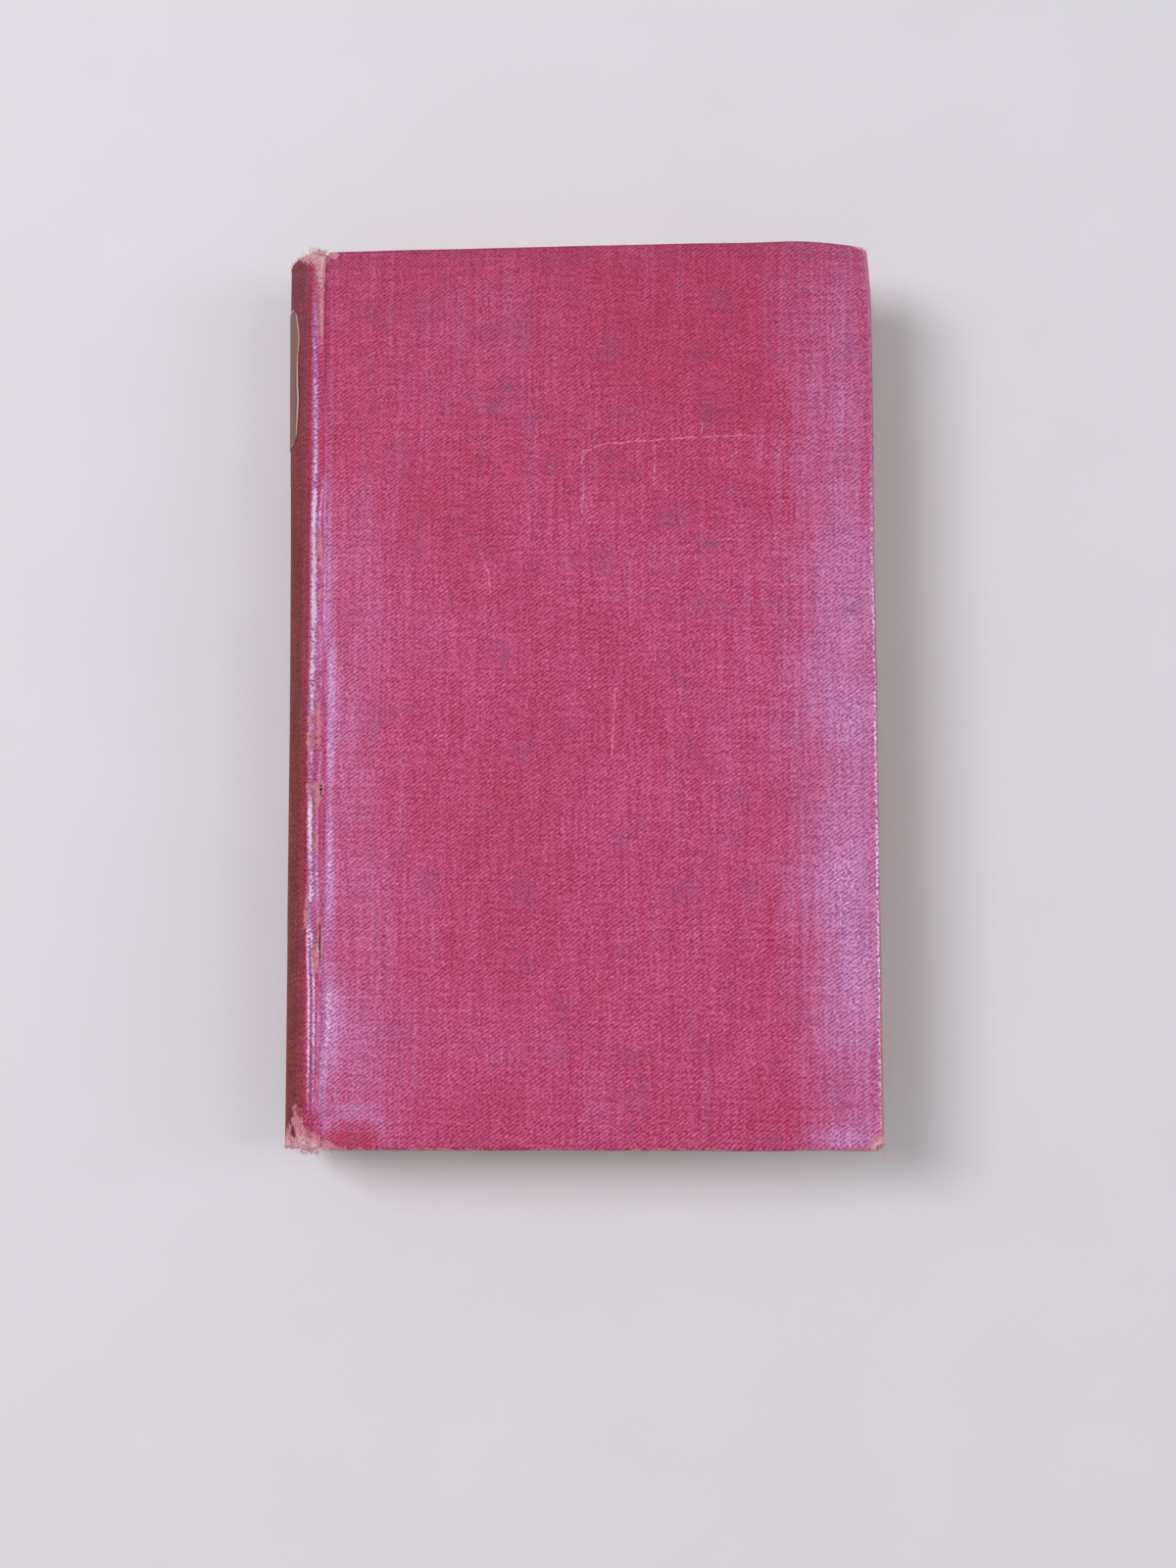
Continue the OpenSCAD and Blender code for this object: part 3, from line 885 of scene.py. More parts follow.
# Height, offset from the board's edge and strength of the painted highlight
board_shine_mm = [
    (-94, -0.3, 0.20),
    (-86, -0.2, 0.65),
    (-78, 0.0, 0.85),
    (-70, 0.7, 0.72),
    (-61, 0.6, 0.68),
    (-54, -0.2, 0.40),
    (-46, 0.7, 1.00),
    (-30, 0.9, 0.80),
    (-21, 0.3, 0.35),
    (-13, 1.4, 0.65),
    (-4, 1.7, 0.90),
    (4, 1.5, 1.00),
    (12, -0.1, 1.00),
    (20, -0.2, 0.85),
    (28, 0.0, 0.55),
    (37, -0.3, 0.65),
    (47, 0.0, 0.40),
    (62, 0.3, 0.28),
    (78, 0.3, 0.05),
]


def board_shine(x, y):
    """The painted highlight line at the board's edge, soft towards the board and sharp towards the
    joint.
    """
    height, offset, strength = (np.array(column) for column in zip(*board_shine_mm))
    off = x - cover_x - np.interp(y, height, offset)
    line = soft_line(off, np.where(off < 0, 0.45, 0.85))
    return line * np.interp(y, height, strength) * patchy(y, 25, 4, 0.9, 0.3)


print("smudges:", len(smudges_mm))

# %% [markdown]
# Hands have burnished the cloth along both long edges, and painted sheen lies over them: a narrow
# margin by the joint, a broad one by the fore-edge that is strongest below the middle. The tail
# corner by the joint is a patch of fresh red inside an arc of painted highlight, and the very edge
# of the fore-edge is a thin line of painted highlight.

# %% Burnished margins with painted sheen


def tail_curl(x, y):
    """Distance from the fresh patch at the tail of the joint, 1 at its border."""
    return np.hypot((x - cover_x - 6.8) / 6.8, (y + 95.5) / 7.6)


def joint_margin(x, y):
    """The painted sheen on the margin beside the joint."""
    low = ramp(y, 62, 32)
    left = 0.24 * soft_line(x - cover_x - 1.2, 1.9) * low
    left = left + 0.23 * soft_line(x - cover_x - 7.5, 7) * low
    spots = [(cover_x + 2.6, -70, 2.8, 15, 0.10), (cover_x + 2.1, -66, 2.1, 10, 0.20)]
    left = left + spots_at(x, y, spots)
    left = left * (1 + 0.35 * wander(y + 0.7 * x, 57, 13) + 0.15 * wander(y - 0.8 * x, 58, 6))
    return left * ramp(y, -94, -88)


def fore_margin(x, y):
    """The painted sheen on the margin along the fore-edge."""
    long = 0.24 + 0.76 * soft_line(y + 36, 80)
    sway = 2.6 * wander(y, 26, 31) + 1.6 * wander(y + 0.5 * x, 27, 11)
    right = 0.66 * soft_line(x - fore_x + 5.5 + 0.5 * sway, 9) * long
    right = right + 0.12 * soft_line(x - fore_x + 16 + sway, 8) * long
    return right * (1 + 0.16 * wander(y + 0.8 * x, 55, 13) + 0.10 * wander(y - 0.6 * x, 56, 7))


def front_pale(x, y):
    """All the painted sheen and highlights on the front cover."""
    curl = tail_curl(x, y)
    # An arc of painted highlight round the fresh patch at the tail of the joint
    arc = soft_line(curl - 1.12, 0.16) * patchy(x + y, 28, 3, 0.7, 0.4)
    # A patch of painted sheen near the tail of the fore-edge
    tail_shine = bump_at(x, y, fore_x - 8.5, -92.3, 7.0, 2.2)
    # A thin painted highlight along the very edge of the fore-edge
    edge_line = soft_line(fore_x - x - 0.48, 0.32) * np.maximum(ramp(y, 72, 32), 0.25)
    edge_line = edge_line * patchy(y, 29, 5, 0.85, 0.35)
    pale = np.minimum(0.8 * board_shine(x, y) + joint_margin(x, y), 0.93) + fore_margin(x, y)
    pale = pale * (1 - 0.8 * ramp(curl, 1.0, 0.6))
    pale = pale + 0.30 * arc + 0.26 * tail_shine + 1.15 * edge_line
    return np.clip(pale, 0, 1.25)


print("burnish at the fore-edge's middle:", round(float(front_pale(fore_x - 5.0, 0.0)), 2))

# %% [markdown]
# The dye has stayed richer near the head and tail, where less light and fewer hands reached it.
# The richer, darker red on the turned edges and under the bumped head corner is painted shade.
# Rubbing follows the edges and is strongest where the corners have been knocked.

# %% Fresh dye, painted edge shade and rubbed edges


def front_fresh(x, y, depth):
    """How rich the dye has stayed on the front cover, with painted shade on its turned edges."""
    fresh = 0.12 + 0.38 * ramp(y, 5, 65) + 0.20 * ramp(y, half_h - 26, half_h)
    fresh = fresh + 0.12 * ramp(y, -72, -87) + 0.55 * ramp(tail_curl(x, y), 1.0, 0.6)
    spots = [
        (fore_x - 4.6, -93.4, 2.6, 1.2, 0.80),
        (-14, -32, 13, 17, 0.22),
        (-6, 46, 22, 14, 0.16),
        (18, 0, 12, 40, 0.10),
        (-22, 53, 7, 6, 0.25),
        # Darker red under the bumped head corner: painted shade
        (fore_x - 4, 91.5, 5, 3, 0.55),
    ]
    # The darker, richer red over the rounded edges is painted shade
    return fresh + spots_at(x, y, spots) + 0.8 * ramp(depth, 0.8, 1.1)


def front_rub(x, y, depth):
    """How far the front cover's edges and corners are rubbed."""
    on_edge = soft_line(depth - 0.9, 0.55)
    uneven = 0.5 + 0.5 * wander(y + 3 * x, 21, 4)
    ends = 0.30 * ramp(y, -55, -65) + 0.25 * ramp(y, 72, 80)
    fore_edge = (x > fore_x - 3) * (0.22 + 0.30 * uneven + ends)
    head_and_tail = (np.abs(y) > half_h - 3) * np.where(y < 0, 0.16 + 0.40 * uneven, 0.12 * uneven)
    head_corner = np.hypot(x - fore_x + 2.4, y - half_h + 2.4)
    arc = soft_line(head_corner - 1.9, 0.35) * (x > fore_x - 2.6) * (y > half_h - 2.6)
    knocks = [
        (fore_x - 0.8, 0.8 - half_h, 1.6, 1.6, 1.7),
        (cover_x, -half_h, 3.0, 2.4, 0.8),
        (cover_x + 0.8, half_h - 0.8, 1.1, 1.1, 0.7),
    ]
    rub = on_edge * (fore_edge + head_and_tail) + 0.5 * arc + spots_at(x, y, knocks)
    return np.clip(rub, 0, 1)


print("rub at the knocked corner:", round(float(front_rub(fore_x - 0.8, 0.8 - half_h, 0.9)), 2))

# %% [markdown]
# Each cover's marks are gathered in one function. Nothing is rubbed or burnished on the turn-ins,
# which have always been inside. The back cover isn't seen in the photograph: it gets the even wear
# of a book that has lain on shelves and tables.

# %% Marks on the covers
turned_depth = 3.2


def front_marks(x, y, z, depth):
    """Burnish and sheen, rub, soil, fresh and sun for the front cover, by place and depth over its edge.
    """
    inside = depth > turned_depth
    head_dust = 0.15 * ramp(y, half_h - 6, half_h) + 0.14 * ramp(y, 50, 90)
    return {
        "pale": np.where(inside, 0, front_pale(x, y)),
        "rub": np.where(inside, 0.0, front_rub(x, y, depth)),
        "soil": np.clip(spots_at(x, y, smudges_mm) + head_dust, 0, 1.2),
        "fresh": front_fresh(x, y, depth),
        "sun": 0 * x,
    }


def back_marks(x, y, z, depth):
    """The same marks for the back cover."""
    inside = depth > turned_depth
    # Painted sheen along both long edges and over the middle of the back cover
    pale = 0.35 * soft_line(x - fore_x + 8, 10) + 0.3 * soft_line(x - cover_x - 4, 8)
    pale = pale + 0.25 * bump_at(x, y, 5, 10, 38, 60)
    rub = soft_line(depth - 0.9, 0.6) * (0.35 + 0.35 * wander(y + 2 * x, 22, 5))
    corners = [(fore_x - 1, side * (half_h - 1), 2.0, 2.0, 0.6) for side in (-1, 1)]
    rub = rub + spots_at(x, y, corners)
    return {
        "pale": np.where(inside, 0, pale),
        "rub": np.where(inside, 0.0, np.clip(rub, 0, 1)),
        "soil": spots_at(x, y, [(-20, 40, 9, 6, 0.40), (30, -30, 6, 9, 0.35)]),
        # Darker, richer red over the rounded edges: painted shade, as on the front
        "fresh": 0.25 + 0.45 * ramp(depth, 0.35, 0.75),
        "sun": 0 * x,
    }


def no_marks(x, y, z, depth):
    """A board carries no marks."""
    return {}


print("front marks:", ", ".join(front_marks(0.0, 0.0, top_z, 0.0)))

# %% [markdown]
# The front cloth has worn through at the tail corner of the fore-edge. The faces there are left
# out, so the grey board shows in the hole, as it does on the real book.

# %% Front and back cover cloth
hole_r = 1.5
hole_rag = 0.45


def worn_through(x, y, z):
    """False for faces in the hole at the tail corner."""
    mx = (x[:-1, :-1] + x[1:, 1:]) / 2
    my = (y[:-1, :-1] + y[1:, 1:]) / 2
    off = np.hypot(mx - fore_x, my + half_h)
    ragged = hole_r + hole_rag * wander(np.degrees(np.arctan2(my + half_h, mx - fore_x)), 5, 16)
    return off > ragged


def turned_over(patches):
    """The same patches mirrored in the book's middle plane, for the back cover."""
    for p in patches:
        x, y, z = p["xyz"]
        p["xyz"] = (x, y, 2 * mid_z - z)
        p["flip"] = not p["flip"]
    return patches


cloth_patches = slab(0.0, low_z, top_z, turn_in, warp_front, front_marks, worn_through)
front_cloth = sew("front_cover_cloth", cloth_patches, bookcloth, thick=cloth_t)
finish_piece(front_cloth, "front_cover", "bookcloth", "front_cloth")
back_patches = turned_over(slab(0.0, low_z, top_z, turn_in, as_built, back_marks))
back_cloth = sew("back_cover_cloth", back_patches, bookcloth, thick=cloth_t)
finish_piece(back_cloth, "back_cover", "bookcloth", "back_cloth")

# %% [markdown]
# ## Boards
# Greyboard is waste pulp pressed into sheets, which gives the eye a dull grey with dark and pale
# fibres. Each board lies inside its cloth and shows only where the cloth has worn through, so it
# follows the same bump as the cloth over it.

# %% Greyboard
pulp_mm = 1.786
board_gap = 0.03
board_inset = cloth_t + board_gap
board_low = paste_high[2]
board_high = top_z - board_inset
under_edge = 4.0


def make_greyboard():
    """Pressed pulp, matt and lumpy."""
    board, tree, surface = new_material("pressed_pulp_greyboard", Roughness=0.95)
    place = add(tree, "UVMap", uv_map="cloth")
    fibres = {"Vector": place, "Scale": 1 / pulp_mm, "Detail": 6.0, "Roughness": 0.7}
    pulp = add(tree, "TexNoise", fibres)
    tone = paint_over(tree, paint("#A0968E"), [(pulp, 0.0, 1.0, 1.0, paint("#CFC4BC"))])
    dress(tree, surface, tone, pulp, 0.5, 0.1)
    return board


def board_patches(warp):
    """A whole slab: its rounded top and sides, its flat underside and its joint edge."""
    patches = slab(board_inset, board_low, board_high, under_edge, warp, no_marks)
    xs = np.linspace(cover_x, fore_x - board_inset - under_edge, 12)
    ys = np.linspace(-half_h + board_inset + under_edge, half_h - board_inset - under_edge, 12)
    gx, gy = np.meshgrid(xs, ys, indexing="ij")
    patches.append(patch(*warp(gx, gy, np.full(gx.shape, board_low)), flip=True))
    zs = np.linspace(board_low, board_high, 3)
    gy, gz = np.meshgrid(np.linspace(-half_h + edge_r, half_h - edge_r, 60), zs, indexing="ij")
    patches.append(patch(*warp(np.full(gy.shape, cover_x), gy, gz), u=gy, v=gz))
    return patches


greyboard = make_greyboard()
front_board = sew("front_greyboard", board_patches(warp_front), greyboard, sharp=50)
finish_piece(front_board, "front_cover", "greyboard", "front_board")
back_board = sew("back_greyboard", turned_over(board_patches(as_built)), greyboard, sharp=50)
finish_piece(back_board, "back_cover", "greyboard", "back_board")

# %% [markdown]
# ## Joints and spine
# Between the boards the same cloth runs through the groove, over the ridge and round the spine,
# and its two ends are folded inside. The strip is split where one body ends and the next begins:
# the spine cloth stays with the pages, and the joint cloth has no body of its own.

# %% A strip with folded ends
fold_depth = 2 * cloth_t
fold_steps = 6


def folded(tail_end, head_end, radius, back, step):
    """Heights and depths across a strip whose two ends are folded in round a radius."""
    flat = np.linspace(-1, 1, int(2 * half_h / step) + 1)[None, :]
    middle = np.where(flat < 0, flat * (tail_end - radius), flat * (head_end - radius))
    turn = np.linspace(0, math.pi, fold_steps)[None, 1:]
    turned = radius * (1 - np.cos(turn))
    inner = np.array([0.5, 1.0])[None, :] * back
    columns_y = [
        radius - tail_end + inner[:, ::-1],
        (radius - tail_end - radius * np.sin(turn))[:, ::-1],
        middle,
        head_end - radius + radius * np.sin(turn),
        head_end - radius - inner,
    ]
    lapped = 2 * radius + 0 * inner
    columns_d = [lapped, turned[:, ::-1], 0 * middle, turned, lapped]
    return np.concatenate(columns_y, axis=1), np.concatenate(columns_d, axis=1)


def fold_strip(x, z, u, depth, ends, back, warp, mark, keep=None, step=0.6):
    """A strip with section x, z and cloth run u, folded in over its tail and head ends."""
    tx, tz = np.gradient(x), np.gradient(z)
    length = np.hypot(tx, tz)
    nx, nz = (-tz / length)[:, None], (tx / length)[:, None]
    tail_end, head_end = (end[:, None] for end in ends)
    y, d = folded(tail_end, head_end, (depth / 2)[:, None], back, step)
    run = u[:, None] + 0 * y
    marks = mark(run, y, d)
    raised = marks.pop("out", 0.0) - d
    kept = None if keep is None else keep(run, y, d)
    px, py, pz = warp(x[:, None] + nx * raised, y, z[:, None] + nz * raised)
    return patch(px, py, pz, run, y + np.sign(y) * d, kept, **marks)


print("depth of a folded end:", fold_depth, "mm")

# %% [markdown]
# The joint is where a book wears first. The front one has split in two places, and near its ends
# the threads come loose in patches. Daylight has browned the cloth up to the ridge, but right
# beside the ridge the dye stayed a warm red.

# %% The joint's section and its wear
# Place on the section, height, half width and half length of each slit
slits_mm = [(-53.35, -20.6, 0.50, 1.35), (-53.5, -52.6, 0.3, 4.6)]
joint_x = np.concatenate([ridge_x - ridge_r * np.cos(ridge_as), groove_xs[1:]])
joint_z = np.concatenate([mid_z + ridge_mid + ridge_r * np.sin(ridge_as), groove_zs[1:]])
joint_u = np.concatenate([u_ridge + ridge_r * (ridge_as - ridge_angle), u_groove + groove_run[1:]])


def ends_worn(y, reach, seed, u):
    """How worn the cloth is near its two ends, patchy along the edge."""
    near = ramp(half_h - np.abs(y), reach, 0)
    return near * (0.75 + 0.45 * wander(u * 1.7 + y * 0.6, seed, 1.6))


def browning(x):
    """How far daylight has browned the cloth beside the ridge, and how red the dye stayed there."""
    off = x - ridge_x
    sun = np.interp(off, (-2.6, -1.3, -0.5, 0.0), (0.95, 0.68, 0.55, 0.0))
    fresh = np.interp(off, (-2.4, -1.0, -0.2, 0.4), (0.0, 0.8, 0.9, 0.25))
    return sun, fresh


def near_slits(u, y, widen, lengthen, extra):
    """Soft spots over the slits, from their half widths and half lengths."""
    across = u - u_shift
    radii = [(cx, cy, widen * rx + extra, ry + lengthen) for cx, cy, rx, ry in slits_mm]
    return sum(bump_at(across, y, *spot) for spot in radii)


def split_open(u, y, d):
    """False for faces inside the slits."""
    mu = (u[:-1, :-1] + u[1:, 1:]) / 2 - u_shift
    my = (y[:-1, :-1] + y[1:, 1:]) / 2
    closed = np.ones(mu.shape, bool)
    for cx, cy, rx, ry in slits_mm:
        ragged = 1 + 0.35 * wander(my * 2 + cx, 41, 0.7)
        closed &= ((mu - cx) / (rx * ragged)) ** 2 + ((my - cy) / ry) ** 2 > 1
    return closed


def between_seams(u):
    """0 where the joint meets its neighbours and 1 between, so that its edges stay in place."""
    return ramp(u, u_cover, u_cover - 0.6) * ramp(u, u_ridge, u_ridge + 0.5)


print("slits in the front joint:", len(slits_mm))

# %% [markdown]
# The front ridge is burnished, and a line of painted highlight runs along it, a little nearer the
# spine below the middle of the book and forked in two towards the tail. A second, finer line of
# painted highlight lies in the groove among warm worn threads, and at the head a strip has rubbed
# through to the weave.

# %% Painted highlight lines and worn strips


def ridge_shine(off_line, y):
    """The painted highlight line on the ridge, by the distance from it."""
    broad = np.where(off_line < 0, 0.48, 0.62 + 0.18 * wander(y, 42, 13))
    forked = ramp(y, -46, -60)
    two_lines = soft_line(off_line + 0.38, 0.22) + 0.9 * soft_line(off_line - 0.50, 0.22)
    line = (1 - forked) * soft_line(off_line, broad) + forked * two_lines
    lively = np.clip(0.84 + 0.30 * wander(y, 33, 9) + 0.22 * wander(y, 37, 1.7), 0.3, 1)
    reach = np.maximum(ramp(y, 68, 48), 0.70) * ramp(y, 89, 81) * ramp(y, -90, -82)
    return 1.50 * line * lively * reach


def groove_shine(x, y):
    """The finer painted highlight line in the groove, and an even painted sheen from the ridge into it.
    """
    line = soft_line(x - ridge_x - 2.2 - 0.5 * wander(y, 43, 12), 0.35) * (y < 46)
    lively = np.clip(0.6 + 0.7 * wander(y, 44, 10) + 0.5 * wander(y, 34, 2.1), 0, 1)
    handled = ramp(x, ridge_x, ridge_x + 0.6) * ramp(y, 66, 36)
    return 0.95 * line * lively + 0.16 * handled


def warm_threads(x, y):
    """Warm worn threads in the groove."""
    line = soft_line(x - ridge_x - 1.95 - 0.4 * wander(y, 45, 8), 0.9)
    return line * patchy(y, 36, 3.4, 0.45, 1.0) * ramp(y, 60, 48)


def worn_strip(x, y):
    """The strip at the head that has rubbed through, wider towards its end."""
    off_strip = x - ridge_x - 1.75 + 0.40 * ramp(y, 76, 94)
    wide = 0.42 + 0.34 * ramp(y, 74, 84) + 0.7 * ramp(y, 88, 95)
    strip = soft_line(off_strip, wide) * ramp(y, 69, 81)
    return strip * patchy(y + 2 * x, 48, 1.1, 0.85, 0.35, 0.3)


def worn_tail(x, y):
    """The tail end of the ridge, worn back in a ragged line."""
    near = np.clip(1.2 - (half_h + y) / (7.5 + 2.5 * wander(x, 47, 0.8)), 0, 1)
    return near * soft_line(x - ridge_x + 1.0, 3.2)


def chafed_places(x, y):
    """Two chafed places on the ridge."""
    places = [(ridge_x + 0.1, -9, 0.8, 6, 1.0), (ridge_x - 0.3, -46, 0.8, 5, 1.0)]
    return spots_at(x, y, places) * patchy(y, 35, 1.5, 0.45, 0.3)


print("shine on the ridge at mid height:", round(float(ridge_shine(0.0, 0.0)), 2))

# %% [markdown]
# The marks of each joint are gathered as those of the covers are. The mark called out isn't a
# colour: it moves the cloth out or in by hundredths of a millimetre.

# %% Marks on the joints


def front_joint_marks(u, y, d):
    """Marks of the front joint, by its distance along the cloth and its height."""
    x = np.interp(u, joint_u, joint_x)
    sun, fresh = browning(x)
    moved = 0.20 * ramp(y, 45, 25) * ramp(y, -60, -45)
    off_line = x - ridge_x - 0.72 + moved - 0.18 * wander(y, 31, 13)
    spot = bump_at(x, y, ridge_x + 0.5, -20.2, 0.9, 1.4)
    salmon = warm_threads(x, y)
    chafed = chafed_places(x, y)
    # Painted highlights on the ridge, at the board's edge and in the groove
    pale = 1.15 * ridge_shine(off_line, y) + 0.9 * board_shine(x, y) + groove_shine(x, y)
    pale = pale * np.maximum(ramp(y, -93, -85), 0.2) * (1 - 0.5 * salmon)
    pale = pale * (1 - spot) * (1 - 0.6 * chafed)
    rub = chafed + 0.86 * worn_strip(x, y) + 0.45 * soft_line(off_line, 0.6) * ramp(y, 82, 90)
    rub = rub + 0.46 * salmon + 0.9 * (spot + worn_tail(x, y) + ends_worn(y, 3.5, 38, u))
    rub = rub + 0.55 * near_slits(u, y, 0.0, 1.0, 1.2)
    # Painted shade in the fold near the board's edge, which is also pressed in a little
    crease = soft_line(x - ridge_x - 2.75, 0.32) * ramp(y, 60, 72) * patchy(y, 46, 1.2, 0.7, 0.5)
    out = 0.10 * wander(y, 39, 8) + 0.05 * wander(y + 6 * u, 40, 2.2)
    out = out - 0.16 * near_slits(u, y, 1.6, 0.0, 0.0) - 0.12 * crease
    return {
        "pale": np.clip(pale, 0, 1.6),
        "rub": np.clip(rub, 0, 1),
        "fresh": np.clip(fresh + salmon, 0, 1),
        "soil": 0.0 * u,
        "crease": 0.8 * crease,
        "sun": sun,
        "out": out * between_seams(u) * (d < 0.01),
    }


def back_joint_marks(u, y, d):
    """Marks of the back joint, which was handled less."""
    x = np.interp(u, joint_u, joint_x)
    sun, fresh = browning(x)
    # Painted highlight lines on the back ridge and at the board's edge
    shine = soft_line(x - ridge_x - 0.4, 0.45) * patchy(y, 51, 11, 0.6, 0.5)
    edge_shine = 0.6 * soft_line(u - u_cover + 0.4, 0.5) * patchy(y, 52, 8, 0.6, 1.0)
    return {
        "pale": np.clip(shine + edge_shine, 0, 1),
        "rub": np.clip(ends_worn(y, 6, 54, u), 0, 1),
        "fresh": fresh,
        "soil": 0.0 * u,
        "sun": sun,
        "out": 0.08 * wander(y, 53, 9) * between_seams(u) * (d < 0.01),
    }


joint_middle = np.array([(u_ridge + u_cover) / 2])
print("joint marks:", ", ".join(front_joint_marks(joint_middle, 0 * joint_middle, 0 * joint_middle)))

# %% [markdown]
# Both joints share one section. Towards the board the fold at each end grows as deep as the board
# is thick, because there the cloth wraps the board's corner. Beside the ridge the folded ends
# stand out a little, as the cloth puckers there.

# %% Joint cloth
joint_t = 0.3
joint_lap = 1.2  # how far the cloth runs back inside each folded end
fold_start = cover_x - 2.1
pucker_mm = 0.75


def frayed_ends(u, seed, deep):
    """Where the cloth's tail and head ends lie, drawn back where threads are lost."""
    tail = half_h - deep[0] * patchy(u, seed, 1.3, 0.5, 0.6)
    head = half_h - deep[1] * patchy(u, seed + 1, 1.3, 0.5, 0.6)
    return np.stack([tail, head])


toward_board = ramp(joint_x, fold_start, cover_x)
joint_depth = fold_depth + (top_z - low_z - fold_depth) * toward_board**2 * (3 - 2 * toward_board)
joint_ends = frayed_ends(joint_u, 61, (0.9, 0.7))
joint_ends = joint_ends + pucker_mm * soft_line(joint_x - ridge_x - 1.2, 1.1)
joint_ends[:, -1] = half_h
section = (joint_x, joint_z, joint_u, joint_depth, joint_ends, joint_lap, as_built)
front_joint = fold_strip(*section, front_joint_marks, split_open)
front_joint_cloth = sew("front_joint_bookcloth", [front_joint], bookcloth, thick=joint_t)
finish_piece(front_joint_cloth, None, "bookcloth", "front_joint_cloth")
back_joint = turned_over([fold_strip(*section, back_joint_marks)])
back_joint_cloth = sew("back_joint_bookcloth", back_joint, bookcloth, thick=joint_t)
finish_piece(back_joint_cloth, None, "bookcloth", "back_joint_cloth")

# %% [markdown]
# A joint has no body of its own. Its transform is baked into its mesh.

# %% Bake the joints' transforms
for piece, cover, z in (
    (front_joint_cloth, "front_cover", ridge_top),
    (back_joint_cloth, "back_cover", 2 * mid_z - ridge_top),
):
    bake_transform(piece)

# %% [markdown]
# The spine cloth is browned by daylight between the two ridges and stays redder beside them. It
# is frayed at both ends, where fingers have pulled the book from a shelf, and it has sprung
# outwards a little towards the head.

# %% Spine cloth
spine_steps = 91
spine_t = 0.33
spine_lap = 11.0  # how far the turn-in runs back inside
middle_depth = 1.12
deepen_over = math.radians(9)
spine_angles = np.linspace(-ridge_angle, ridge_angle, spine_steps)
spine_x, spine_z = spine_point(spine_angles, spine_r)
spine_u = spine_r * spine_angles
front_half = slice(spine_steps // 2, None)


def spine_marks(u, y, d):
    """Marks of the spine cloth."""
    to_ridge = u_ridge - np.abs(u)
    sun, fresh = browning(np.interp(np.abs(u), spine_u[front_half], spine_x[front_half]))
    head = ramp(y, 30, 90) * ramp(u, 0, 8)
    uneven = 0.75 + 0.5 * wander(u * 0.9 + 30, 74, 1.7)
    reach_tail = 2.0 + 3.4 * ramp(u, 5, 8) + 4.6 * soft_line(u - 13, 2.2) * uneven
    reach_head = 0.9 + 2.9 * ramp(u, 11.5, 15) * uneven
    tail = np.clip(1.25 - (half_h + y) / reach_tail, 0, 1)
    top = np.clip(1.25 - (half_h - y) / reach_head, 0, 1) * np.maximum(ramp(u, 8.5, 12), 0.34)
    rub = (tail + top) * (0.85 + 0.35 * wander(u * 1.3 + y, 71, 1.1))
    spot = bump_at(u, y, 11.6, -91.6, 1.3, 1.2)
    out = 0.05 * wander(y + 2 * u, 72, 12) * ramp(to_ridge, 0, 2) - 0.10 * np.clip(rub - 0.5, 0, 1)
    return {
        "pale": 0.12 * bump_at(u, y, 6, -20, 9, 40) + 0.1 * head,
        "rub": np.clip(np.clip(rub, 0, 1) - 0.9 * spot, 0, 1),
        "fresh": np.clip(fresh + 0.25 * head, 0, 1),
        "soil": 0.10 * np.clip(wander(y + u, 73, 10), 0, 1) + 0.22 * head,
        "sun": np.clip(sun - 0.05 * head + 0.9 * spot, 0, 1),
        "out": out * ramp(to_ridge, 0, 0.8) * (d < 0.01),
    }


def sprung(x, y, z):
    """The back has sprung outwards a little towards the head."""
    bulge = np.clip(1 - ((z - mid_z) / ridge_mid) ** 2, 0, 1)
    return x - 0.65 * ramp(y, 5, 85) * bulge, y, z


middle_share = ramp(np.abs(spine_angles), ridge_angle, ridge_angle - deepen_over)
spine_depth = fold_depth + (middle_depth - fold_depth) * middle_share
spine_ends = frayed_ends(spine_u, 81, (0.3, 0.25))
spine_ends[:, [0, -1]] = joint_ends[:, :1]
section = (spine_x, spine_z, spine_u, spine_depth, spine_ends, spine_lap, sprung)
spine_strip = fold_strip(*section, spine_marks, step=0.5)
spine_cloth = sew("spine_bookcloth", [spine_strip], bookcloth, thick=spine_t)
finish_piece(spine_cloth, "text_block", "bookcloth", "spine_cloth")

# %% [markdown]
# ## Spine label
# The label is a small sheet of paper, pasted on and gone brown. It is left bare. It gives the eye
# a matt, fibrous brown with darker stains, painted shade in the crease beside its lifted edge, a
# painted highlight on that edge, and pale where its edges are rubbed.

# %% Label paper


def make_label_paper():
    """Pasted paper gone brown: fibres, stains, rubbed edges, and a painted shadow and highlight."""
    paper, tree, surface = new_material("browned_label_paper", Roughness=0.75)
    place = add(tree, "UVMap", uv_map="cloth")
    fine = {"Vector": place, "Scale": 1 / 1.111, "Detail": 6.0, "Roughness": 0.65}
    fibres = add(tree, "TexNoise", fine)
    stains = add(tree, "TexNoise", {"Vector": place, "Scale": 1 / 6.25, "Detail": 3.0})
    # On the label the soil attribute holds the painted shadow line beside the lifted edge
    crease = add(tree, "Attribute", attribute_name="soil").outputs["Fac"]
    # On the label the rub attribute holds the rubbed edges and the painted highlight on the lifted edge
    edge = add(tree, "Attribute", attribute_name="rub").outputs["Fac"]
    layers = [
        (fibres, 0.0, 1.0, 1.0, paint("#966C61")),
        (stains, 0.42, 0.62, 0.55, paint("#765850")),
        (crease, 0.0, 1.0, 1.0, paint("#4A3634")),
        (edge, 0.0, 1.0, 1.0, paint("#D8BBAE")),
    ]
    dress(tree, surface, paint_over(tree, paint("#70483F"), layers), fibres, 0.35, 0.06)
    return paper


label_paper = make_label_paper()
print("label nodes:", len(label_paper.node_tree.nodes))

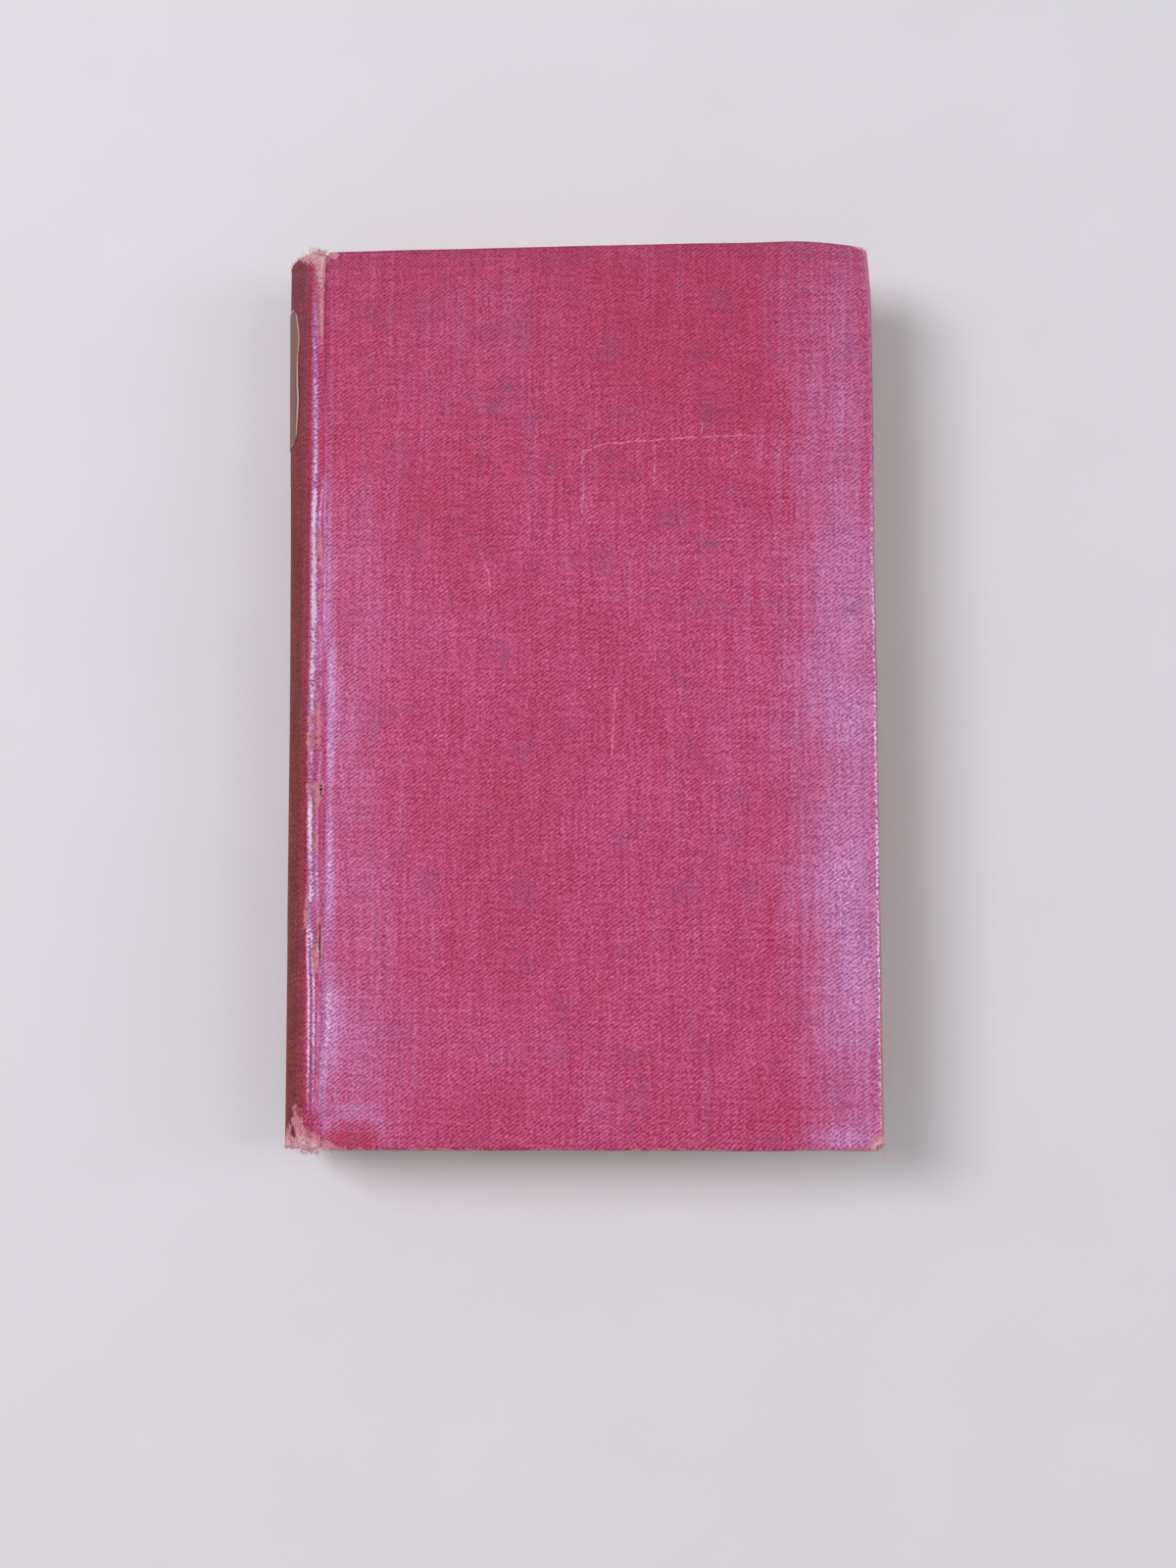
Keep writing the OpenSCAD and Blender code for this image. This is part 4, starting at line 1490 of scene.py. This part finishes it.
# %% [markdown]
# The label has round corners and a wavy front edge. That edge has sprung away from the cloth in
# one place, where a thin dark line of painted shadow lies beside a bright line of painted highlight.
# The whole label sits a little towards the front cover, where the photograph has it.

# %% Label
label_low, label_high = box_mm("spine_label")
label_y = (label_low[1] + label_high[1]) / 2
label_half = (label_high[1] - label_low[1]) / 2
label_angle = math.radians(26)
label_turn = math.radians(5)
label_r = spine_r + 0.2
label_t = 0.17
label_w = label_r * label_angle
corner = 2.5
sprung_y = 64.5


def round_sheet(a_steps, y_steps):
    """A sheet the size of the label as a grid whose four corners are drawn onto arcs."""
    a_row, y_row = np.linspace(-1, 1, a_steps), np.linspace(-1, 1, y_steps)
    au, yv = np.meshgrid(a_row * label_w, y_row * label_half, indexing="ij")
    ux = ramp(np.abs(au), label_w - corner, label_w)
    vy = ramp(np.abs(yv), label_half - corner, label_half)
    round_u = np.sign(au) * (label_w - corner + corner * ux * np.sqrt(1 - vy * vy / 2))
    round_v = np.sign(yv) * (label_half - corner + corner * vy * np.sqrt(1 - ux * ux / 2))
    in_corner = (ux > 0) & (vy > 0)
    return np.where(in_corner, round_u, au), np.where(in_corner, round_v, yv)


au, yv = round_sheet(41, 81)
height = label_y + yv
to_front = label_w - au
wave = 0.9 * soft_line(height - 77, 3.5) + 1.0 * soft_line(height - 64, 6)
wave = wave - 1.2 * soft_line(height - 86, 4) + 0.1 * wander(yv, 91, 1.4)
lifted = soft_line(height - sprung_y, 6) * ramp(to_front, 1.1, 0)
raised = np.clip(0.16 * lifted + 0.02 * wander(yv + 2 * au, 93, 5), -0.02, 1)
to_edge = np.minimum(label_w - np.abs(au), label_half - np.abs(yv))
# Rubbed edges, and a painted highlight along the lifted part of the front edge
edge_rub = ramp(to_edge, 0.45, 0) * (0.75 + 0.3 * wander(yv, 94, 3)) + lifted * (to_front < 0.6)
# A painted shadow line beside the lifted edge
crease = soft_line(to_front - 1.0, 0.28) * soft_line(height - sprung_y, 6)
label_as = (au + ramp(to_front, 6, 0) * wave) / label_r + label_turn
lx, lz = spine_point(label_as, label_r + raised)
lx, ly, lz = sprung(lx, height, lz)
# The painted highlight is stored as rub and the painted shadow as soil
label_patch = patch(lx, ly, lz, au, yv, rub=np.clip(edge_rub, 0, 0.9), soil=0.8 * crease)
label = sew("bare_spine_label", [label_patch], label_paper, thick=label_t)
finish_piece(label, "text_block", "label_paper", "spine_label")

# %% [markdown]
# ## Pages
# The pages are sheets folded and sewn in sections, rounded and backed so that the outer leaves
# lean over the shoulders. A texture of lines would look painted from the side, so each leaf is a
# thin ring of its own around the block, set in or out by a hair as knocked-up sheets are.

# %% The block's shape
block_z = leaf_low[2] - mid_z
shoulder_z = block_high[2] - mid_z
page_half = block_high[1]
block_back = block_low[0]
block_fore = block_high[0]
shoulder_r = 3.9
shoulder_x = ridge_x + (ridge_r - cloth_t) / 2
shoulder_tip = 0.3
scoop_z = block_z + shoulder_r - 0.03
scoop_x = shoulder_x + shoulder_tip + math.sqrt(shoulder_r**2 - (scoop_z - shoulder_z) ** 2)
fore_hollow = 4.0
fore_land_z = block_z - 0.4
fore_r = (fore_land_z**2 + fore_hollow**2) / (2 * fore_hollow)
back_sag = shoulder_x - block_back
back_r = (back_sag**2 + shoulder_z**2) / (2 * back_sag)


def top_of_block(x):
    """Height of the block's flat face and of the scoop under its shoulder, above its middle."""
    dip = scoop_z - np.sqrt(np.maximum(shoulder_r**2 - (x - scoop_x) ** 2, 0))
    curve = np.where(np.abs(x - scoop_x) < shoulder_r, dip, shoulder_z)
    curve = np.where(x > scoop_x, block_z, curve)
    return np.clip(curve, block_z, shoulder_z)


print("radius of the block's back:", round(back_r, 2), "mm")

# %% [markdown]
# One ring runs round a leaf: along its tail edge to the fore-edge, up that edge, and back along
# its head edge. Points crowd towards the spine, where the shoulders bend.

# %% One leaf
side_points = 26
fore_points = 34
back_points = 5


def leaf_ring(share, inset, seed):
    """Points round one leaf at a share of the block's height, and how far each was set in."""
    held = min(abs(share * block_z), fore_land_z)
    x_fore = block_fore - fore_hollow + fore_r - math.sqrt(fore_r**2 - held**2) - inset[0]
    x_back = block_back + back_r - math.sqrt(back_r**2 - (share * shoulder_z) ** 2)
    xs = x_back + (x_fore - x_back) * np.linspace(0, 1, side_points) ** 1.6
    ys = np.linspace(-1, 1, fore_points)[1:-1]
    tail = page_half - inset[1]
    head = page_half - inset[2]
    wavy = 0.05 * wander(ys * page_half, seed, 18)
    fore_y = ys * (tail + head) / 2 + (head - tail) / 2
    back_y = np.linspace(head, -tail, back_points)[1:-1]
    side = np.ones(side_points)
    x = np.concatenate([xs, x_fore + wavy, xs[::-1], np.full(back_points - 2, x_back)])
    y = np.concatenate([-tail * side, fore_y, head * side, back_y])
    return x, y, share * top_of_block(x)


print("points round a leaf:", leaf_ring(0.0, (0, 0, 0), 1)[0].size)

# %% [markdown]
# The leaves of a section were cut and knocked up together, so they share most of what they are
# set in by. A notch as fine as the gap between two sheets parts each leaf from the next, deeper
# where a new section starts.

# %% The stack of leaves
leaf_count = 84  # about 0.25 mm each, twice as thick as real leaves, so that single edges show
section_leaves = 6
leaf_notch = 0.16
section_notch = 0.30
edge_share = 0.22
most_inset = 0.4
head_start = side_points + fore_points - 2


def make_page_stack():
    """All the leaves as one closed piece, with a fine notch between neighbours."""
    draw = np.random.default_rng(101)
    shares = np.linspace(-1, 1, leaf_count + 1)
    rows = []
    tones = []
    section = np.zeros(3)
    for i in range(leaf_count):
        new_section = i % section_leaves == 0
        if new_section:
            section = draw.uniform(0, 0.16, 3)
        inset = np.minimum(section + np.abs(draw.normal(0, 0.07, 3)), most_inset)
        tone = draw.uniform(0, 1)
        low, high = shares[i], shares[i + 1]
        edge = edge_share * (high - low)
        notch = section_notch if new_section else leaf_notch
        notch = notch if i > 0 else 0.0
        for share, extra in ((low, notch), (low + edge, 0.0), (high - edge, 0.0)):
            rows.append(leaf_ring(share, inset + extra, 110 + i))
            tones.append(tone)
    rows.append(leaf_ring(1.0, inset, 110 + leaf_count))
    tones.append(tone)
    x, y, z = (np.array([row[k] for row in rows]) for k in range(3))
    x, y, z = (np.concatenate([a, a[:, :1]], axis=1) for a in (x, y, z + mid_z))
    walls = patch(x, y, z, u=x + y, v=z - mid_z, flip=True, tone=np.array(tones)[:, None] + 0 * x)
    return walls, (x[0], y[0], z[0]), (x[-1], y[-1], z[-1])


def cap(ring, flip):
    """Closes the stack: straight strips from the tail side to the head side."""
    head_side = slice(head_start, head_start + side_points)
    x, y, z = (np.stack([row[:side_points], row[head_side][::-1]]) for row in ring)
    return patch(x, y, z, flip=flip, tone=0.5 + 0 * x)


walls, bottom, top = make_page_stack()
print("rings in the stack:", walls["shape"][0])

# %% [markdown]
# Paper edges darken where air and dust reach them. Each leaf took its own tone between cream and
# buff, soft stains run over many leaves, and small brown spots are foxing. The edges give the eye
# a matt surface with hardly any relief of its own.

# %% Page material


def make_pages():
    """Aged paper seen on its edges."""
    pages, tree, surface = new_material("aged_rag_and_wood_pulp_pages", Roughness=0.88)
    place = add(tree, "TexCoord").outputs["Object"]
    tone = add(tree, "Attribute", attribute_name="tone").outputs["Fac"]
    wide = {"Vector": place, "Scale": 1 / (22.22 * MM), "Detail": 4.0, "Roughness": 0.6}
    stain = add(tree, "TexNoise", wide)
    fox = add(tree, "TexNoise", {"Vector": place, "Scale": 1 / (2.381 * MM), "Detail": 2.0})
    layers = [
        (tone, 0.0, 1.0, 1.0, paint("#E8D6B4")),
        (stain, 0.45, 0.7, 0.5, paint("#B49468")),
        (fox, 0.68, 0.76, 0.55, paint("#8A6540")),
    ]
    dress(tree, surface, paint_over(tree, paint("#CDB28A"), layers), stain, 0.2, 0.1)
    return pages


page_patches = [walls, cap(bottom, True), cap(top, False)]
pages = sew("sewn_pages", page_patches, make_pages(), sharp=40)
finish_piece(pages, "text_block", "pages", "text_block")

# %% [markdown]
# ## Endpapers
# An endpaper is one folded sheet: half is pasted to the board, half is free. Wove paper gives the
# eye a smooth matt cream, browner along the margins where air and the turn-ins' glue got at it,
# with foxing in between.

# %% Endpaper material


def make_endpaper():
    """Wove paper, toned at its margins and foxed."""
    paper, tree, surface = new_material("wove_endpaper", Roughness=0.85)
    place = add(tree, "UVMap", uv_map="cloth")
    grains_mm = {"fibres": (0.9091, 5.0), "toning": (33.33, 4.0), "fox": (3.125, 3.0)}
    grains = {}
    for name, (size_mm, detail) in grains_mm.items():
        values = {"Vector": place, "Scale": 1 / size_mm, "Detail": detail, "Roughness": 0.6}
        grains[name] = add(tree, "TexNoise", values)
    margin = add(tree, "Attribute", attribute_name="margin").outputs["Fac"]
    layers = [
        (grains["fibres"], 0.0, 1.0, 1.0, paint("#E3D6B8")),
        (grains["toning"], 0.4, 0.7, 0.45, paint("#BFA67A")),
        (grains["fox"], 0.66, 0.76, 0.6, paint("#A87C4A")),
        (margin, 0.0, 1.0, 1.0, paint("#A88D63")),
    ]
    dress(tree, surface, paint_over(tree, paint("#D6C6A2"), layers), grains["fibres"], 0.25, 0.05)
    return paper


endpaper = make_endpaper()
print("endpaper nodes:", len(endpaper.node_tree.nodes))

# %% [markdown]
# The pasted half sinks where the turn-ins end, because there is no cloth under it there. Both
# halves have slightly uneven edges, and the glue has cockled the pasted one.

# %% Pastedowns and flyleaves
leaf_t = 0.15
paste_t = 0.95 * leaf_t
window_fore = fore_x - turn_in
window_half = half_h - turn_in
paste_fore = paste_high[0]
edge_zone = 0.5


def sheet_grid(x_low, x_high, x_steps, y_steps):
    """A grid of points over a sheet as tall as the pages."""
    rows = np.linspace(x_low, x_high, x_steps), np.linspace(-page_half, page_half, y_steps)
    return np.meshgrid(*rows, indexing="ij")


def pastedown_patch():
    """The pasted half, seen from inside the cover, with the step where the turn-ins end."""
    x, y = sheet_grid(cover_x, paste_fore, 111, 171)
    inner = np.minimum(window_fore - x, window_half - np.abs(y)) + 0.25 * wander(x + y, 131, 9)
    step = ramp(inner, 0.4, 2.0)
    sunk = cloth_t * step * step * (3 - 2 * step)
    cockle = 0.02 * wander(y + 0.4 * x, 132, 16) * ramp(inner, 0, 10)
    ragged = 0.2 * np.abs(wander(y, 133, 7)) * (x > paste_fore - edge_zone)
    margin = 0.55 * ramp(paste_fore - x, 9, 0) ** 2 + 0.4 * ramp(x - cover_x, 5, 0) ** 2
    margin = np.clip(margin + 0.45 * ramp(page_half - np.abs(y), 8, 0) ** 2, 0, 1)
    return patch(x - ragged, y, paste_low[2] + sunk + cockle, flip=True, margin=margin)


def flyleaf_patch():
    """The free half, pressed flat by the cover, its edges a little uneven."""
    x, y = sheet_grid(leaf_low[0], leaf_high[0], 81, 121)
    uneven = 0.15 * np.abs(wander(y, 141, 11)) * (x > leaf_high[0] - edge_zone)
    margin = 0.5 * ramp(leaf_high[0] - x, 10, 0) ** 2
    margin = margin + 0.5 * ramp(page_half - np.abs(y), 9, 0) ** 2
    return patch(x - uneven, y, leaf_high[2] + 0 * x, margin=np.clip(margin, 0, 1))


for side, turn_over in (("front", list), ("back", turned_over)):
    pasted_half = turn_over([pastedown_patch()])
    pasted = sew(f"{side}_pasted_endpaper", pasted_half, endpaper, thick=paste_t)
    finish_piece(pasted, f"{side}_cover", "endpaper", f"{side}_pastedown")
    free = sew(f"{side}_free_endpaper", turn_over([flyleaf_patch()]), endpaper, thick=leaf_t)
    finish_piece(free, "text_block", "endpaper", f"{side}_flyleaf")

# %% [markdown]
# The inner hinge lies in the scoop of the shoulder. On the real book it rolls round the joint when
# the cover opens and keeps the cover to the pages; here it has no body of its own, and its transform
# is baked into its mesh.

# %% Inner hinges
hinge_low, hinge_high = box_mm("front_inner_hinge")
hinge_t = 0.27
hinge_clear = 0.42


def inner_hinge_patch():
    """A strip of paper over mull, from the shoulder to the board's edge."""
    climb = np.radians(np.linspace(-44, -14.5, 18))
    ys = np.linspace(-page_half + 0.1, page_half - 0.1, 120)
    a, y = np.meshgrid(climb, ys, indexing="ij")
    reach = shoulder_r - hinge_clear - 0.03 * wander(y + 20 * a, 151, 4)
    x = scoop_x + reach * np.sin(a)
    z = scoop_z + mid_z - reach * np.cos(a)
    run = (shoulder_r - 0.12) * a
    return patch(x, y, z, u=run, v=y, margin=0.35 + 0.2 * wander(y, 152, 6))


for side, turn_over in (("front", list), ("back", turned_over)):
    strip = turn_over([inner_hinge_patch()])
    hinge_piece = sew(f"{side}_inner_hinge_paper", strip, endpaper, thick=hinge_t)
    finish_piece(hinge_piece, None, "endpaper", f"{side}_inner_hinge")
    z = hinge_low[2] if side == "front" else 2 * mid_z - hinge_low[2]
    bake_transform(hinge_piece)

# %% [markdown]
# ## Head and tail bands
# A band is cotton wound round a cord and glued to the block's end, to hide the sewing. Glazed
# cotton gives the eye a low gloss with a soft edge light, in two colours that have both gone
# brownish.

# %% Band material


def make_band_cotton():
    """Glazed cotton in two colours, grubby in patches."""
    cotton, tree, surface = new_material("glazed_band_cotton", Roughness=0.6, Sheen_Weight=0.2)
    place = add(tree, "TexCoord").outputs["Object"]
    stripe = add(tree, "Attribute", attribute_name="stripe").outputs["Fac"]
    dirt = add(tree, "TexNoise", {"Vector": place, "Scale": 1 / (1.4286 * MM), "Detail": 3.0})
    layers = [
        (stripe, 0.0, 1.0, 1.0, paint("#8E3A40")),
        (dirt, 0.4, 0.7, 0.4, paint("#9A8560")),
    ]
    dress(tree, surface, paint_over(tree, paint("#D9CDB0"), layers), dirt, 0.3, 0.05)
    return cotton


band_cotton = make_band_cotton()
print("band nodes:", len(band_cotton.node_tree.nodes))

# %% [markdown]
# The winding is a tube whose radius rises and falls with each turn. A tongue of the band is glued
# down over the back of the pages.

# %% Bands
band_low, band_high = box_mm("head_band")
band_d = 1.4
band_seat = 0.06
turn_pitch = 0.55  # the real thread is half as thick, drawn coarser so that the turns show
tongue_t = 0.14
tongue_len = 6.0


def wound_cord(side, half_angle, path_r):
    """The cord with its winding, beyond the head (side 1) or the tail (side -1)."""
    turns = int(2 * half_angle * path_r / turn_pitch)
    along = np.linspace(-half_angle, half_angle, turns * 6 + 1)
    aa, cc = np.meshgrid(along, np.linspace(0, 2 * math.pi, 15), indexing="ij")
    phase = (aa + half_angle) / (2 * half_angle) * turns * 2 * math.pi + 0.35 * np.sin(cc)
    close = np.clip(np.minimum(aa + half_angle, half_angle - aa) / 0.03, 0.02, 1) ** 0.5
    r = band_d / 2 * (0.90 + 0.10 * np.abs(np.sin(phase / 2))) * close
    reach = path_r + r * np.cos(cc)
    x = block_back + back_r - reach * np.cos(aa)
    y = side * (page_half + band_d / 2 + r * np.sin(cc))
    stripe = (np.floor(phase / (2 * math.pi)) % 4 < 2).astype(float)
    return patch(x, y, mid_z + reach * np.sin(aa), u=aa, v=cc, flip=side > 0, stripe=stripe)


def tongue(side, half_angle):
    """The part of the band that is glued over the back of the pages."""
    heights = side * np.linspace(page_half - tongue_len, page_half + band_d / 2, 8)
    a, y = np.meshgrid(np.linspace(-half_angle, half_angle, 30), heights, indexing="ij")
    reach = back_r + band_seat + tongue_t
    x = block_back + back_r - reach * np.cos(a)
    return patch(x, y, mid_z + reach * np.sin(a), u=a, v=y, flip=side < 0, stripe=0.0)


for end_name, side in (("head", 1), ("tail", -1)):
    path_r = back_r + band_seat - band_d / 2 + 0.15
    half_angle = math.asin((band_high[2] - mid_z - band_d / 3) / path_r)
    band_patches = [wound_cord(side, half_angle, path_r), tongue(side, half_angle)]
    band = sew(f"{end_name}_band_winding", band_patches, band_cotton)
    finish_piece(band, "text_block", "thread", f"{end_name}_band")

# %% [markdown]
# ## Hidden parts
# Linen tapes, sewing thread, mull, kraft lining and the manila inlay stay as the CAD made them.
# They can be glimpsed through the open hollow of the back, so each gets its own weave or fibre:
# matt linen and cotton with two thread shades, waxed thread a little glossier, papers with long
# fibres.

# %% Materials for the frame's own nodes


def woven(name, warp, weft, pitch_mm, roughness):
    """A plain weave in the object's own coordinates, its two thread colours a pitch apart."""
    weave, tree, surface = new_material(name, Roughness=roughness)
    place = add(tree, "TexCoord").outputs["Object"]
    check = {"Vector": place, "Scale": 1 / (pitch_mm * MM), "Color1": paint(warp), "Color2": paint(weft)}
    cells = add(tree, "TexChecker", check)
    dirt = add(tree, "TexNoise", {"Vector": place, "Scale": 1 / (7.692 * MM), "Detail": 4.0})
    aged = [(dirt, 0.35, 0.75, 0.5, paint("#A08A62"))]
    tone = paint_over(tree, cells.outputs["Color"], aged)
    dress(tree, surface, tone, cells.outputs["Fac"], 0.4, 0.08)
    return weave


def fibrous(name, light, dark, roughness):
    """A paper or board with long fibres along the book."""
    sheet, tree, surface = new_material(name, Roughness=roughness)
    place = add(tree, "TexCoord").outputs["Object"]
    thin, long = 1 / (1.111 * MM), 1 / (5.556 * MM)
    laid = add(tree, "VectorMath", {0: place, 1: (thin, long, thin)}, operation="MULTIPLY")
    grain = {"Vector": laid, "Scale": 1.0, "Detail": 5.0, "Roughness": 0.65}
    fibres = add(tree, "TexNoise", grain)
    tone = paint_over(tree, paint(dark), [(fibres, 0.0, 1.0, 1.0, paint(light))])
    dress(tree, surface, tone, fibres, 0.3, 0.05)
    return sheet


node_materials = {
    "sewing_tapes": woven("unbleached_linen_tape", "#D8CBAE", "#C2B490", 0.45, 0.8),
    "sewing_thread": woven("waxed_linen_thread", "#E2D8BE", "#CBBE9C", 0.3, 0.55),
    "mull": woven("open_weave_cotton_mull", "#DAD0B8", "#B5A888", 0.8, 0.85),
    "spine_lining": fibrous("brown_kraft_paper", "#B58F5E", "#8E6B40", 0.8),
    "spine_inlay": fibrous("manila_paper", "#CBB07A", "#A98C56", 0.8),
}
for node_name, material in node_materials.items():
    mesh = frame["nodes"][node_name].data
    mesh.materials.clear()
    mesh.materials.append(material)
print("nodes dressed:", sorted(node_materials))

# %% [markdown]
# ## Loose threads
# Frayed cloth ends in single threads. They could be particle hair, but thin tubes keep their shape
# everywhere, and each can lie where the real one does. Frayed cotton gives the eye a dull pink
# with a soft edge light, and every thread has its own shade.

# %% Thread tubes


def make_frayed_cotton():
    """Dyed cotton fibres that have lost their filler."""
    cotton, tree, surface = new_material("frayed_cotton_threads", Roughness=0.8, Sheen_Weight=0.3)
    shade = add(tree, "Attribute", attribute_name="tone").outputs["Fac"]
    place = add(tree, "TexCoord").outputs["Object"]
    speck = add(tree, "TexNoise", {"Vector": place, "Scale": 1 / (0.6667 * MM), "Detail": 2.0})
    layers = [
        (shade, 0.0, 1.0, 1.0, paint("#E2C2BC")),
        (speck, 0.0, 1.0, 1.0, paint("#D69C9C")),
    ]
    dress(tree, surface, paint_over(tree, paint("#C77C86"), layers))
    return cotton


frayed_cotton = make_frayed_cotton()


def tube(path, tone, radius):
    """A thin tapering tube along a list of points."""
    points = np.array(path, float)
    ring = np.linspace(0, 2 * math.pi, 6)
    along = np.gradient(points, axis=0)
    along /= np.linalg.norm(along, axis=1)[:, None]
    side = np.cross(along, (0.31, 0.2, 0.93))
    side /= np.linalg.norm(side, axis=1)[:, None]
    up = np.cross(along, side)
    taper = radius * np.sqrt(np.clip(1 - np.linspace(0, 1, len(points)) ** 2, 0.05, 1))[:, None]
    spots = []
    for k in range(3):
        round_it = np.cos(ring) * side[:, k][:, None] + np.sin(ring) * up[:, k][:, None]
        spots.append(points[:, k][:, None] + taper * round_it)
    return patch(*spots, tone=tone + 0 * spots[0])


def strands(name, paths, body, radius):
    """Tubes along many paths, as one piece."""
    patches = [tube(path, tone, radius) for path, tone in paths]
    piece = sew(name, patches, frayed_cotton, weld=0.0001)
    finish_piece(piece, body, "bookcloth")
    return piece


def tuft(place, lean, length, count, draw, spread=0.5):
    """Short fibres from one place, leaning roughly one way, each with a slight curl."""
    paths = []
    for _ in range(count):
        start = np.array(place) + draw.normal(0, 0.15, 3) * (1, 1, 0.3)
        way = np.array(lean) + draw.normal(0, spread, 3)
        way /= np.linalg.norm(way)
        curl = draw.normal(0, 0.5, 3)
        reach = length * draw.uniform(0.4, 1.1)
        t = np.linspace(0, 1, 6)[:, None]
        paths.append((start + way * reach * t + curl * reach * 0.4 * t * t, draw.uniform(0, 1)))
    return paths


print("points along a fibre:", len(tuft((0, 0, 0), (0, 0, 1), 1, 1, np.random.default_rng(1))[0][0]))

# %% [markdown]
# The ends of the spine carry a fringe of short fibres, the ridges a denser fuzz. A few single
# threads hang loose at the ends of the front ridge.

# %% Fringe of the spine
# Start, reach and sideways bow of each loose thread
long_threads_mm = [
    (-51.2, -94.6, 27.2, 1.4, -3.2, -1.6, 0.5),
    (-53.4, -94.8, 27.4, 0.9, -2.0, 0.2, -0.4),
    (-56.9, -94.7, 26.0, -1.8, -1.4, -1.0, 0.5),
    (-55.6, 94.7, 27.3, 0.6, 1.9, 0.1, 0.4),
    (-57.4, 94.5, 26.1, -0.9, 1.7, 0.3, -0.4),
]


def spine_fringe():
    """Fibres along the spine's frayed head and tail, and a denser fuzz on the ridge's ends."""
    draw = np.random.default_rng(171)
    paths = []
    for side, count in ((1, 120), (-1, 150)):
        for _ in range(count):
            a = draw.uniform(-0.95, 1.0) * ridge_angle
            x, z = spine_point(a, spine_r - 0.12)
            x, _, z = sprung(x, side * half_h, z)
            place = (x, side * (half_h - draw.uniform(0.15, 0.5)), z)
            paths += tuft(place, (-0.3, side, 0.3), draw.uniform(0.25, 0.7), 1, draw, 0.6)
    for side, count in ((1, 110), (-1, 150)):
        for _ in range(count):
            x = ridge_x + draw.uniform(-0.9, 2.7)
            z = groove_point(np.clip((x - ridge_x) / joint_w, 0, 1))[1] - 0.1
            place = (x, side * (half_h - draw.uniform(-0.5, 0.6)), z)
            paths += tuft(place, (0.0, side, 0.5), draw.uniform(0.3, 0.9), 1, draw, 0.7)
    return paths


def long_threads():
    """Single loose threads at both ends of the front ridge."""
    t = np.linspace(0, 1, 14)
    threads = []
    for x0, y0, z0, dx, dy, dz, bow in long_threads_mm:
        sway = bow * np.sin(math.pi * t)
        line = np.stack([x0 + dx * t + sway, y0 + dy * t, z0 + dz * t + 0.3 * sway], axis=-1)
        threads.append((line, 0.7))
    return threads


strands("spine_frayed_threads", spine_fringe() + long_threads(), "text_block", 0.05)

# %% [markdown]
# At the tail corner a thread has pulled out of the worn hole, and short fibres stand up around
# it. The bumped head corner has a pale line of fibres, and the edges have small tufts where they
# were nicked.

# %% Threads on the front cover
# Place along the edge and side of each nick
nicks = [(10.7, 1), (32.0, 1), (4.1, -1), (-31.0, -1), (20.0, -1)]


def corner_threads():
    """The fuzz round the worn hole."""
    draw = np.random.default_rng(181)
    paths = []
    for _ in range(70):
        a = draw.uniform(1.45, 3.3)
        x, y = fore_x - 0.2 + 1.2 * math.cos(a), -half_h + 0.2 + 1.2 * math.sin(a)
        place = (x, y, draw.uniform(26.4, 28.0))
        paths += tuft(place, (0.5, -0.6, 0.5), draw.uniform(0.3, 0.9), 2, draw, 0.8)
    return paths


def pulled_thread():
    """The thread pulled out of the worn corner, bent back on itself."""
    t = np.linspace(0, 1, 16)
    out = np.stack([61.6 + 1.7 * t + 0.25 * np.sin(4 * t), -93.2 - 3.9 * t, 27.7 - 1.2 * t], axis=-1)
    back = np.stack([61.9 + 1.0 * t, -94.0 - 3.3 * t, 27.4 - 1.4 * t * t], axis=-1)
    return [(out, 1.0), (back, 0.9)]


def head_corner_fibres():
    """The whitish line of fibres on the bumped head corner."""
    draw = np.random.default_rng(182)
    paths = []
    for _ in range(12):
        a = draw.uniform(0.2, 1.35)
        x, y = fore_x - 2.5 + 1.7 * math.cos(a), half_h - 3.2 + 1.7 * math.sin(a)
        place = (x, y, draw.uniform(26.3, 27.2))
        paths += tuft(place, (0.7, 0.7, 0.2), draw.uniform(0.2, 0.5), 2, draw, 0.6)
    return paths


def edge_nicks():
    """Small tufts where the cover's head and tail edges were nicked."""
    draw = np.random.default_rng(183)
    paths = []
    for x, side in nicks:
        paths += tuft((x, side * (half_h - 0.1), 27.5), (0, side, 0.3), 0.7, 3, draw)
    return paths


loose = corner_threads() + head_corner_fibres() + edge_nicks()
strands("cover_frayed_threads", loose, "front_cover", 0.06)
strands("cover_pulled_thread", pulled_thread(), "front_cover", 0.12)

# %% [markdown]
# Across the two slits in the joint a few threads still hold. Like the joint's cloth, they have no
# body of their own, and their transform is baked into their mesh.

# %% Threads across the slits


def slit_threads():
    """Threads that still cross the slits in the joint."""
    draw = np.random.default_rng(184)
    t = np.linspace(0, 1, 8)
    paths = []
    for cx, cy, rx, ry in slits_mm:
        for _ in range(4):
            y = cy + draw.uniform(-0.9, 0.9) * ry
            slope = draw.normal(0, 0.35)
            x = cx + (2 * t - 1) * (rx + 0.35)
            z = groove_point((x - ridge_x) / joint_w)[1] - 0.22 - 0.12 * np.sin(math.pi * t)
            paths.append((np.stack([x, y + slope * t, z], axis=-1), draw.uniform(0.5, 1)))
    return paths


slit_piece = strands("joint_slit_threads", slit_threads(), None, 0.06)
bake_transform(slit_piece)
